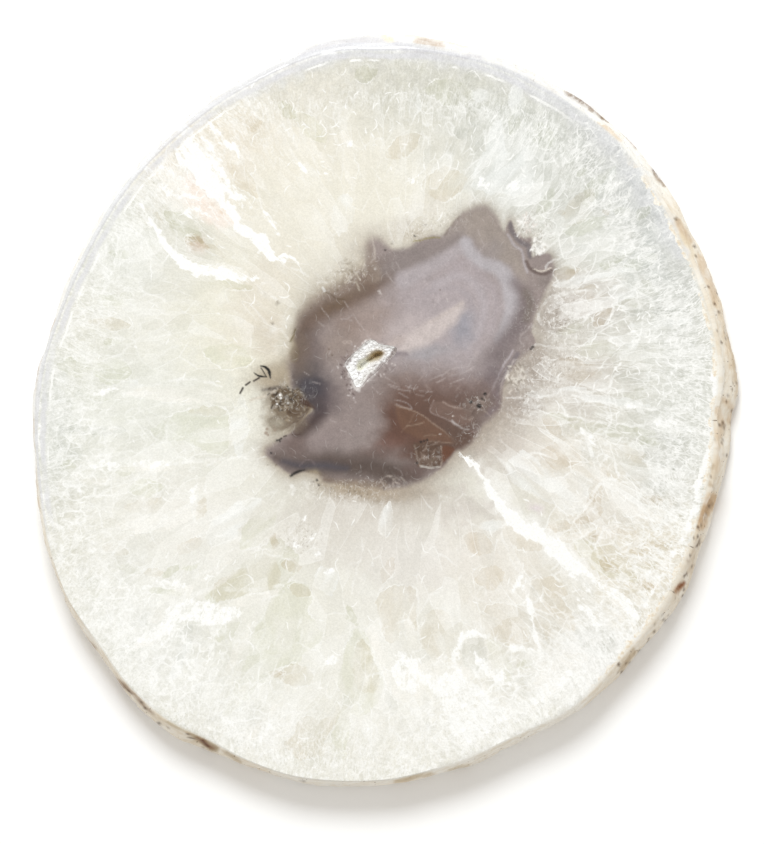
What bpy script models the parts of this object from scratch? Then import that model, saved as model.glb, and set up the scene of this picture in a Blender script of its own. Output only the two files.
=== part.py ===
"""A slice of an agate nodule, sawn flat and polished, with a small crystal-lined hollow.

The slice lies on its lower face. The polished face looks up, +Y is the far side and +X the
right side. Lengths are in metres.
"""
import math
import random

import bmesh
import bpy
import numpy as np
from mathutils import Matrix, Vector, noise

MM = 0.001

# Driving dimensions of the slice
WIDTH = 103.4 * MM
DEPTH = 110.2 * MM
THICKNESS = 6.0 * MM
SHOULDER_DROP = 0.55 * MM
SHOULDER_SHARE = 0.42
SHOULDER_MOST = 1.15 * MM
SHOULDER_ROUGHNESS = 0.4

# The widest line of the rough side, seen from above, in millimetres, clockwise from the far side
OUTLINE = [
    (-2.3, 55.1), (6.4, 54.8), (16.6, 52.3), (26.1, 47.5), (34.2, 41.7), (40.6, 33.9),
    (45.6, 25.2), (49.1, 16.9), (51.2, 8.8), (51.7, 2.7), (51.0, -1.2), (50.8, -4.2),
    (49.9, -9.4), (48.0, -16.3), (45.1, -24.0), (41.2, -30.9), (34.5, -38.8), (28.0, -44.6),
    (20.6, -48.3), (13.2, -51.7), (3.6, -54.4), (-5.3, -55.1), (-14.0, -54.2), (-21.1, -52.0),
    (-27.2, -49.4), (-33.0, -46.2), (-38.5, -40.8), (-42.5, -34.7), (-46.9, -27.7),
    (-49.6, -19.6), (-51.2, -10.1), (-51.7, -2.1), (-50.8, 6.6), (-48.3, 14.7), (-45.4, 21.7),
    (-40.6, 30.7), (-35.2, 37.7), (-29.6, 43.1), (-23.5, 47.8), (-14.7, 52.6), (-8.2, 54.8),
]

# How far the polished face stays inside that line: (direction in degrees, millimetres)
RIM_WIDTH = [
    (0, 3.5), (20, 2.9), (32, 2.6), (45, 2.2), (58, 1.9), (73, 1.8), (90, 2.1), (104, 1.9),
    (118, 1.6), (134, 1.2), (150, 1.0), (165, 0.8), (180, 0.7), (195, 0.5), (210, 0.5),
    (224, 1.1), (235, 1.7), (241, 2.0), (248, 1.2), (256, 0.9), (270, 1.0), (285, 1.5),
    (302, 1.5), (313, 2.0), (324, 2.2), (335, 2.4), (342, 2.6), (351, 2.9),
]

# Height of the widest line and how far the lower edge tucks under it, in millimetres
WIDEST_HEIGHT = [
    (0, 1.2), (60, 1.8), (110, 2.8), (150, 4.3), (180, 4.6), (210, 4.3), (240, 1.6), (300, 1.2),
]
TUCK = [
    (0, 0.5), (60, 0.6), (110, 1.1), (150, 2.2), (180, 2.6), (210, 2.1), (240, 0.7), (300, 0.5),
]
RIND_CURVE = 1.4

# The rough side: (wavelength, height) of its lumps and of its level ridges, in millimetres
LUMPS = [(7.5, 0.42), (2.6, 0.24)]
RIDGE_LENGTH = 9.0
RIDGE_PITCH = 1.1
RIDGE_HEIGHT = 0.16

# Pits in the rough side: (direction in degrees, height, reach, depth), lengths in millimetres
SIDE_PITS = [
    (343, 4.2, 1.9, 0.75), (329, 4.3, 0.9, 0.7), (322, 2.2, 0.6, 0.4), (241, 3.2, 1.8, 0.9),
    (232, 2.0, 0.7, 0.5), (355, 3.4, 1.2, 0.45), (12, 2.4, 1.5, 0.4), (40, 2.6, 1.3, 0.5),
    (52, 3.0, 1.6, 0.5), (68, 2.6, 1.1, 0.4), (96, 3.4, 1.4, 0.45), (127, 2.7, 1.7, 0.6),
    (152, 1.8, 1.3, 0.5), (171, 2.4, 1.9, 0.6), (189, 1.5, 1.2, 0.45), (203, 2.6, 1.5, 0.55),
    (218, 2.2, 1.0, 0.4), (262, 2.6, 1.2, 0.4), (281, 2.0, 1.0, 0.4), (305, 2.4, 1.3, 0.45),
]

SECTORS = 220
ROWS_UNDER = 3
ROWS_RIND = 5
ROWS_SHOULDER = 2

# The hollow's mouth in the polished face, in millimetres
HOLLOW = [
    (-3.0, 10.0), (-1.9, 10.4), (-0.9, 9.7), (0.5, 9.5), (1.6, 9.3), (1.3, 7.9), (-0.2, 6.9),
    (-1.4, 5.6), (-2.7, 4.5), (-3.6, 3.4), (-4.3, 3.2), (-4.9, 4.3), (-5.5, 5.6), (-6.1, 6.8),
    (-5.4, 7.8), (-4.0, 9.0),
]
HOLLOW_CENTRE = Vector((-2.7 * MM, 7.4 * MM, 0.0))
HOLLOW_FLOOR = 1.1 * MM
HOLLOW_TAPER = 0.72
HOLLOW_CURVE = 1.5
HOLLOW_SECTORS = 32
HOLLOW_ROWS = 4

# The crystal crust that lines the hollow, and the pocket left in its middle
CRUST_GAP = 0.35 * MM
CRYSTAL_GAP = 0.28 * MM
CRUST_TOP = THICKNESS - 0.12 * MM
CRUST_LIP = 4.9 * MM
CRUST_FLOOR = 2.1 * MM
POCKET = [
    (-2.3, 8.6), (-1.0, 8.8), (-0.6, 8.3), (-1.3, 7.7), (-2.2, 7.2), (-3.2, 6.6), (-3.7, 5.8),
    (-4.6, 6.2), (-4.1, 7.1), (-3.5, 8.0),
]
LEAST_WALL = 0.4 * MM

# Rows of the crust from its outer foot to the pocket's floor: share of the way in from the
# hollow's wall to the pocket, size of the pocket against its mouth, height
CRUST_SECTION = [
    (0.0, 1.0, HOLLOW_FLOOR + CRUST_GAP), (0.0, 1.0, CRUST_TOP - 0.5 * MM),
    (0.35, 1.0, CRUST_TOP - 0.3 * MM), (1.0, 1.0, CRUST_LIP), (1.0, 0.85, 3.5 * MM),
    (1.0, 0.55, CRUST_FLOOR),
]

# Crystals on the mouth's slope and down the pocket's wall: how many, their widths, lengths,
# how far each leans inwards, and for the wall the heights they grow at
RIM_CRYSTALS = 40
RIM_CRYSTAL_WIDTH = (0.55 * MM, 1.05 * MM)
RIM_CRYSTAL_LEAN = (0.0, 0.7)
WALL_CRYSTALS = 14
WALL_CRYSTAL_WIDTH = (0.45 * MM, 0.8 * MM)
WALL_CRYSTAL_RISE = (0.2, 0.9)
WALL_CRYSTAL_HEIGHT = (2.9 * MM, 4.4 * MM)
CRYSTAL_LENGTH = (0.5 * MM, 0.8 * MM)
CRYSTAL_SCATTER = 0.25
CRYSTAL_POINT = 0.75
SEED = 7


def smooth_closed(points, steps=10):
    """A closed curve that passes smoothly through the points, as an array of positions."""
    p = np.array(points, dtype=float) * MM
    before, after, beyond = np.roll(p, 1, 0), np.roll(p, -1, 0), np.roll(p, -2, 0)
    curve = []
    for t in np.arange(steps) / steps:
        a = 2 * p + (after - before) * t
        b = (2 * before - 5 * p + 4 * after - beyond) * t ** 2
        c = (3 * p - before - 3 * after + beyond) * t ** 3
        curve.append((a + b + c) / 2)
    return np.stack(curve, axis=1).reshape(-1, 2)


def reach_around(points, centre):
    """Distance from the centre to the closed curve through the points, for any direction."""
    spokes = smooth_closed(points) - np.array(centre[:2])
    turn = np.arctan2(spokes[:, 1], spokes[:, 0])
    length = np.hypot(spokes[:, 0], spokes[:, 1])
    order = np.argsort(turn)
    return lambda angle: float(np.interp(angle, turn[order], length[order], period=math.tau))


HOLLOW_WALL = reach_around(HOLLOW, HOLLOW_CENTRE)
POCKET_WALL = reach_around(POCKET, HOLLOW_CENTRE)


def value_around(pairs):
    """A value in metres for any direction, from (degrees, millimetres) pairs."""
    turn = np.radians([degrees for degrees, _ in pairs])
    value = np.array([millimetres for _, millimetres in pairs]) * MM
    return lambda angle: float(np.interp(angle % math.tau, turn, value, period=math.tau))


def ringed_cylinder(sectors, rows):
    """A closed cylinder of radius and height 1 whose side is divided into rows of faces."""
    bm = bmesh.new()
    bmesh.ops.create_cone(bm, cap_ends=True, segments=sectors, radius1=1, radius2=1, depth=1,
                          matrix=Matrix.Translation((0, 0, 0.5)))
    upright = [e for e in bm.edges if abs(e.verts[0].co.z - e.verts[1].co.z) > 0.5]
    bmesh.ops.subdivide_edges(bm, edges=upright, cuts=rows - 1)
    return bm


def shape_rings(bm, rows, place):
    """Moves each point of a ringed cylinder to place(direction, row), row 0 at the bottom."""
    for vertex in bm.verts:
        angle = math.atan2(vertex.co.y, vertex.co.x)
        vertex.co = place(angle, round(vertex.co.z * rows))


def new_object(name, bm, collection, material=None):
    """A mesh object made from bm, linked to the collection."""
    bmesh.ops.recalc_face_normals(bm, faces=bm.faces)
    mesh = bpy.data.meshes.new(name)
    bm.to_mesh(mesh)
    bm.free()
    obj = bpy.data.objects.new(name, mesh)
    collection.objects.link(obj)
    if material:
        mesh.materials.append(material)
    return obj


def new_cutter(name, bm, collection):
    """A guide shape that is drawn as wire and never rendered."""
    obj = new_object(name, bm, collection)
    obj.hide_render = True
    obj.display_type = "WIRE"
    return obj


def add_boolean(obj, other, operation):
    """Joins, cuts or crops obj by another object."""
    modifier = obj.modifiers.new(other.name, "BOOLEAN")
    modifier.operation = operation
    modifier.solver = "EXACT"
    modifier.object = other
    return modifier


def new_material(name, colour, roughness):
    """A plain stone material."""
    material = bpy.data.materials.new(name)
    material.use_nodes = True
    shader = material.node_tree.nodes["Principled BSDF"]
    shader.inputs["Base Color"].default_value = (*colour, 1)
    shader.inputs["Roughness"].default_value = roughness
    shader.inputs["Metallic"].default_value = 0
    return material


def side_roughness(point, angle):
    """How far the rough side stands out at a point, from its lumps, level ridges and pits."""
    out = 0.0
    for wavelength, height in LUMPS:
        out += height * MM * noise.noise(point / (wavelength * MM))
    around = Vector((math.cos(angle), math.sin(angle), 0)) * WIDTH / 2 / (RIDGE_LENGTH * MM)
    layer = Vector((0, 0, point.z / (RIDGE_PITCH * MM)))
    out += RIDGE_HEIGHT * MM * noise.noise(around + layer)
    for degrees, height, reach, depth in SIDE_PITS:
        turn = math.remainder(angle - math.radians(degrees), math.tau)
        away = math.hypot(turn * point.xy.length, point.z - height * MM) / (reach * MM)
        out -= depth * MM * math.exp(-away ** 2 * 2)
    return out


def slice_profile():
    """The slice's section for any direction: (distance inside the widest line, height) by row."""
    rim, widest, tuck = value_around(RIM_WIDTH), value_around(WIDEST_HEIGHT), value_around(TUCK)

    def profile(angle, row):
        shoulder = min(rim(angle) * SHOULDER_SHARE, SHOULDER_MOST)
        foot = THICKNESS - SHOULDER_DROP
        if row <= ROWS_UNDER:
            rise = row / ROWS_UNDER
            return tuck(angle) * (1 - math.sin(rise * math.pi / 2)), widest(angle) * rise
        if row <= ROWS_UNDER + ROWS_RIND:
            rise = (row - ROWS_UNDER) / ROWS_RIND
            height = widest(angle) + (foot - widest(angle)) * rise
            return (rim(angle) - shoulder) * rise ** RIND_CURVE, height
        rise = (row - ROWS_UNDER - ROWS_RIND) / ROWS_SHOULDER
        return rim(angle) - shoulder * (1 - rise), foot + SHOULDER_DROP * math.sin(rise * math.pi / 2)

    return profile


def fit_to_box(bm):
    """Stretches each half a little, so that the slice fills its box and stays centred on it."""
    for axis, full in ((0, WIDTH), (1, DEPTH)):
        most = max(v.co[axis] for v in bm.verts)
        least = min(v.co[axis] for v in bm.verts)
        for v in bm.verts:
            v.co[axis] *= full / 2 / (most if v.co[axis] > 0 else -least)


def make_slice(collection, cutters):
    """The slab of stone, with its rough side, ground shoulder and hollow."""
    rows = ROWS_UNDER + ROWS_RIND + ROWS_SHOULDER
    reach = reach_around(OUTLINE, (0, 0))
    profile = slice_profile()

    def place(angle, row):
        inside, height = profile(angle, row)
        spoke = Vector((math.cos(angle), math.sin(angle), 0))
        point = spoke * (reach(angle) - inside) + Vector((0, 0, height))
        if 0 < row < ROWS_UNDER + ROWS_RIND:
            point += spoke * side_roughness(point, angle)
        elif row < rows:
            point += spoke * side_roughness(point, angle) * SHOULDER_ROUGHNESS
        return point

    bm = ringed_cylinder(SECTORS, rows)
    shape_rings(bm, rows, place)
    fit_to_box(bm)
    material = new_material("pale_quartz", (0.80, 0.79, 0.74), 0.15)
    slab = new_object("agate_slice", bm, collection, material)
    add_boolean(slab, make_hollow_cutter(cutters), "DIFFERENCE")
    return slab


def hollow_reach(angle, height):
    """Distance from the hollow's middle to its wall, which draws in towards the floor."""
    sunk = max(0.0, (THICKNESS - height) / (THICKNESS - HOLLOW_FLOOR))
    taper = 1 - (1 - HOLLOW_TAPER) * sunk ** HOLLOW_CURVE
    return HOLLOW_WALL(angle) * taper


def hollow_point(angle, reach, height):
    """A point at a distance from the hollow's middle."""
    return HOLLOW_CENTRE + Vector((math.cos(angle) * reach, math.sin(angle) * reach, height))


def plug(inset, top, bottom):
    """A solid that fills the hollow, kept inset from its wall."""
    def place(angle, row):
        height = bottom + (top - bottom) * row / HOLLOW_ROWS
        return hollow_point(angle, hollow_reach(angle, height) - inset, height)

    bm = ringed_cylinder(HOLLOW_SECTORS, HOLLOW_ROWS)
    shape_rings(bm, HOLLOW_ROWS, place)
    return bm


def make_hollow_cutter(cutters):
    """The tool that cuts the hollow into the polished face."""
    return new_cutter("hollow_cutter", plug(0.0, THICKNESS + 1 * MM, HOLLOW_FLOOR), cutters)


def make_crust_body(collection, material):
    """The crust without its crystals: a cup whose mouth slopes down to a narrow pocket."""
    def place(angle, row):
        share, size, height = CRUST_SECTION[row]
        outer = hollow_reach(angle, height) - CRUST_GAP
        inner = min(POCKET_WALL(angle) * size, outer - LEAST_WALL)
        return hollow_point(angle, outer + (inner - outer) * share, height)

    rows = len(CRUST_SECTION) - 1
    bm = ringed_cylinder(HOLLOW_SECTORS, rows)
    shape_rings(bm, rows, place)
    return new_object("druse_crust", bm, collection, material)


def add_crystal(bm, foot, lean, width, length):
    """A six-sided crystal with a pointed end, half sunk at foot and growing along lean."""
    turn = lean.to_track_quat("Z", "Y").to_matrix().to_4x4()
    made = bmesh.ops.create_cone(bm, cap_ends=True, segments=6, radius1=width / 2, radius2=width / 2.2,
                                 depth=length, matrix=Matrix.Translation(foot) @ turn)
    crown = {v for v in made["verts"] if (v.co - foot).dot(lean) > 0}
    peak = bmesh.ops.poke(bm, faces=[f for f in bm.faces if crown.issuperset(f.verts)])
    peak["verts"][0].co = foot + lean * (length / 2 + width * CRYSTAL_POINT)


def rim_crystal(chance, angle):
    """Height, distance from the middle, rise, inward lean and width of a crystal at the mouth."""
    share = chance.uniform(0.15, 0.85)
    wall = HOLLOW_WALL(angle) - CRUST_GAP
    reach = wall + (POCKET_WALL(angle) - wall) * share
    height = CRUST_TOP - 0.25 * MM - (CRUST_TOP - CRUST_LIP) * share
    return height, reach, 1.0, chance.uniform(*RIM_CRYSTAL_LEAN), chance.uniform(*RIM_CRYSTAL_WIDTH)


def wall_crystal(chance, angle):
    """The same for a crystal down the pocket's wall."""
    height = chance.uniform(*WALL_CRYSTAL_HEIGHT)
    reach = POCKET_WALL(angle) * (0.68 + 0.3 * height / CRUST_LIP)
    return height, reach, chance.uniform(*WALL_CRYSTAL_RISE), 1.0, chance.uniform(*WALL_CRYSTAL_WIDTH)


def make_crystals(cutters):
    """The crystals: a ring of small points on the mouth's slope and fewer down the pocket."""
    chance = random.Random(SEED)
    bm = bmesh.new()
    for count, kind in ((RIM_CRYSTALS, rim_crystal), (WALL_CRYSTALS, wall_crystal)):
        for index in range(count):
            angle = math.tau * (index + chance.uniform(-0.3, 0.3)) / count
            height, reach, rise, inward, width = kind(chance, angle)
            lean = Vector((-math.cos(angle) * inward, -math.sin(angle) * inward, rise))
            lean += Vector([chance.uniform(-CRYSTAL_SCATTER, CRYSTAL_SCATTER) for _ in range(3)])
            foot = hollow_point(angle, reach, height)
            add_crystal(bm, foot, lean.normalized(), width, chance.uniform(*CRYSTAL_LENGTH))
    return new_cutter("crystal_points", bm, cutters)


def make_crust(collection, cutters):
    """The hollow's crystal lining, cropped to stay clear of the stone and below the face."""
    material = new_material("white_druse", (0.88, 0.87, 0.84), 0.35)
    crust = make_crust_body(collection, material)
    joined = add_boolean(crust, make_crystals(cutters), "UNION")
    joined.use_self = True
    envelope = plug(CRYSTAL_GAP, CRUST_TOP, HOLLOW_FLOOR + CRYSTAL_GAP)
    add_boolean(crust, new_cutter("crust_envelope", envelope, cutters), "INTERSECT")
    return crust


def main():
    for obj in list(bpy.data.objects):
        bpy.data.objects.remove(obj, do_unlink=True)
    parts = bpy.data.collections.new("agate_slice")
    cutters = bpy.data.collections.new("cutters")
    for collection in (parts, cutters):
        bpy.context.scene.collection.children.link(collection)
    make_slice(parts, cutters)
    make_crust(parts, cutters)


main()
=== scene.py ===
"""The looks of the agate slice: pale milky quartz round a grey and lavender agate.

Places on the polished face are written as pixels of the photograph, with x to the right and y
down. at() turns them into metres. Colours are written as seen, from 0 to 255.
"""

import copy
import math

import bmesh
import bpy
import numpy as np
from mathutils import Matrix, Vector
from mathutils.bvhtree import BVHTree
from mathutils.geometry import delaunay_2d_cdt


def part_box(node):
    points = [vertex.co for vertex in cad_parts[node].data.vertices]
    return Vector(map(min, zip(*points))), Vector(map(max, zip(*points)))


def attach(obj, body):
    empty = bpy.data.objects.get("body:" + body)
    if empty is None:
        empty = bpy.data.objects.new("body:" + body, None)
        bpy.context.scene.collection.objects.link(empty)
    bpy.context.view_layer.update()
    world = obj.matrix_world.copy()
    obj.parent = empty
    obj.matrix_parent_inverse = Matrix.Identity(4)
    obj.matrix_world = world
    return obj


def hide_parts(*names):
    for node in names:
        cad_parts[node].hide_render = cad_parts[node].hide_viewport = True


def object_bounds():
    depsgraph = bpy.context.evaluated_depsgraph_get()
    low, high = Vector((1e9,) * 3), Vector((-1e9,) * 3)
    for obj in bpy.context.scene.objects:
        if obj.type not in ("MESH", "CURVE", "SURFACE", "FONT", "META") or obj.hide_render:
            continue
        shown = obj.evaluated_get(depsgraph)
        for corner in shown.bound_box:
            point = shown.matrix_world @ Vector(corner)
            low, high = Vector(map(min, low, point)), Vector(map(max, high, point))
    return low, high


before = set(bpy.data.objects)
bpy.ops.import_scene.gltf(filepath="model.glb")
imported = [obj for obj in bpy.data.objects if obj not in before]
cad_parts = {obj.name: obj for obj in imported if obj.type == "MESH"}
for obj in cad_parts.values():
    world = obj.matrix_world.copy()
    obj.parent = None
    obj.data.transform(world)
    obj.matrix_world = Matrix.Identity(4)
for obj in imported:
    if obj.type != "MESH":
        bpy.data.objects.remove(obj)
cad_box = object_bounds()

MM = 0.001
# The photograph: the size of a pixel on the slice, and the pixel over the slice's middle
PIXEL = 0.146 * MM
MIDDLE = (386.0, 410.5)
FRAME_WIDTH, FRAME_HEIGHT = 764, 844

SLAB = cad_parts["agate_slice"]
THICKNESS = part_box("agate_slice")[1].z
crust_low, crust_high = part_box("druse_crust")
HOLLOW_MIDDLE = (crust_low + crust_high) / 2

# Where the quartz crystals grow towards, in pixels
GROWTH = (402.0, 362.0)

# Light reaching the polished face against a white of 1, and its gloss
LIGHT_LEVEL = 1.12
GLOSS = 0.028


def at(x, y):
    """The place on the slice, in metres, of a pixel of the photograph."""
    return (x - MIDDLE[0]) * PIXEL, (MIDDLE[1] - y) * PIXEL


def pixels(points):
    """The photograph's pixels under points in metres."""
    return np.stack([MIDDLE[0] + points[:, 0] / PIXEL, MIDDLE[1] - points[:, 1] / PIXEL], axis=1)


def stone_colour(seen):
    """The stone's own colour, in linear light, where the lit face shows the colour seen."""
    share = np.array(seen) / 255
    light = np.where(share <= 0.04045, share / 12.92, ((share + 0.055) / 1.055) ** 2.4)
    return np.clip((light - GLOSS) / LIGHT_LEVEL, 0.003, 1)


def rise(low, high, value):
    """0 below low, 1 above high and a smooth rise between."""
    share = np.clip((value - low) / (high - low), 0, 1)
    return share * share * (3 - 2 * share)


# Tables. A row ends in a semicolon, a slash parts it in two lists, and commas join a place or a colour.
NAMED = {"white": (255, 254, 251), "ink": (24, 18, 16)}


def read(word):
    """A number, or several that commas join, or a named colour."""
    if word in NAMED:
        return NAMED[word]
    found = tuple(float(n) if "." in n else int(n) for n in word.split(","))
    return found if len(found) > 1 else found[0]


def rows(table):
    """A table's rows: each a list of what is read, or two such lists, such as a line and its width."""
    found = [[[read(word) for word in part.split()] for part in row.split("/")] for row in table.split(";")]
    return [parts if len(parts) > 1 else parts[0] for parts in found if parts[0]]


# Noise


def lattice_noise(places, size, seed=0):
    """Smooth noise from -1 to 1, with lumps about size across, at 2D or 3D places."""
    scaled = np.asarray(places, dtype=float) / size + 977.3 * (seed + 1)
    cell = np.floor(scaled).astype(np.int64)
    share = scaled - cell
    share = share * share * share * (share * (share * 6 - 15) + 10)
    total = np.zeros(len(scaled))
    for corner in np.ndindex(*(2,) * scaled.shape[1]):
        spot = cell + np.array(corner)
        mixed = np.full(len(scaled), 2166136261 + seed, dtype=np.int64)
        for axis in range(scaled.shape[1]):
            mixed = ((mixed ^ (spot[:, axis] * 374761393)) * 668265263) & 0x7FFFFFFFFFFF
            mixed ^= mixed >> 15
        height = (mixed & 0xFFFF) / 0x7FFF - 1
        weight = np.ones(len(scaled))
        for axis, side in enumerate(corner):
            weight *= share[:, axis] if side else 1 - share[:, axis]
        total += weight * height
    return total


def layered_noise(places, size, layers=3, seed=0):
    """Noise with finer and weaker layers on top, from about -1 to 1."""
    total = sum(lattice_noise(places, size / 2 ** k, seed + k) / 2 ** k for k in range(layers))
    return total / 1.4


# Lines and outlines in pixels


def smooth_line(points, closed=False, steps=5):
    """A smooth curve through the points."""
    p = np.array(points, dtype=float)
    if len(p) < 3:
        return p
    if closed:
        before, after, beyond = np.roll(p, 1, 0), np.roll(p, -1, 0), np.roll(p, -2, 0)
    else:
        before = np.vstack([2 * p[0] - p[1], p[:-2]])
        beyond = np.vstack([p[2:], 2 * p[-1] - p[-2]])
        p, after = p[:-1], p[1:]
    curve = []
    for t in np.arange(steps) / steps:
        first = 2 * p + (after - before) * t
        second = (2 * before - 5 * p + 4 * after - beyond) * t ** 2
        third = (3 * p - before - 3 * after + beyond) * t ** 3
        curve.append((first + second + third) / 2)
    curve = np.stack(curve, axis=1).reshape(-1, p.shape[1])
    return curve if closed else np.vstack([curve, after[-1]])


def near_line(places, line, reach):
    """Places within reach of a line: their numbers, their distance and their share along it."""
    low, high = line.min(0) - reach, line.max(0) + reach
    picked = np.flatnonzero(((places > low) & (places < high)).all(1))
    spot = places[picked]
    best = np.full(len(picked), 1e9)
    along = np.zeros(len(picked))
    runs = np.hypot(*np.diff(line, axis=0).T)
    starts = np.concatenate([[0], np.cumsum(runs)])
    for k in np.flatnonzero(runs):
        way = (line[k + 1] - line[k]) / runs[k]
        off = spot - line[k]
        share = np.clip(off @ way, 0, runs[k])
        away = off - share[:, None] * way
        gap = np.hypot(away[:, 0], away[:, 1])
        closer = gap < best
        best[closer] = gap[closer]
        along[closer] = (starts[k] + share[closer]) / starts[-1]
    return picked, best, along


def inside_outline(places, outline):
    """Whether each place is inside a closed outline."""
    outline = np.asarray(outline)
    inside = ((places >= outline.min(0)) & (places <= outline.max(0))).all(1)
    x, y = places[inside].T
    odd = np.zeros(len(x), dtype=bool)
    for (x0, y0), (x1, y1) in zip(outline, np.roll(outline, -1, 0)):
        if y0 != y1:
            crosses = (y0 > y) != (y1 > y)
            odd ^= crosses & (x < (x1 - x0) * (y - y0) / (y1 - y0) + x0)
    inside[inside] = odd
    return inside


def depth_inside(places, outline, reach):
    """Distance inside a closed outline, negative outside it, and the share along the outline."""
    picked, gap, along = near_line(places, np.vstack([outline, outline[:1]]), reach)
    depth = np.full(len(places), -1e3)
    share = np.zeros(len(places))
    inside = inside_outline(places[picked], outline)
    depth[picked] = np.where(inside, gap, -gap)
    share[picked] = along
    return depth, share


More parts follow.
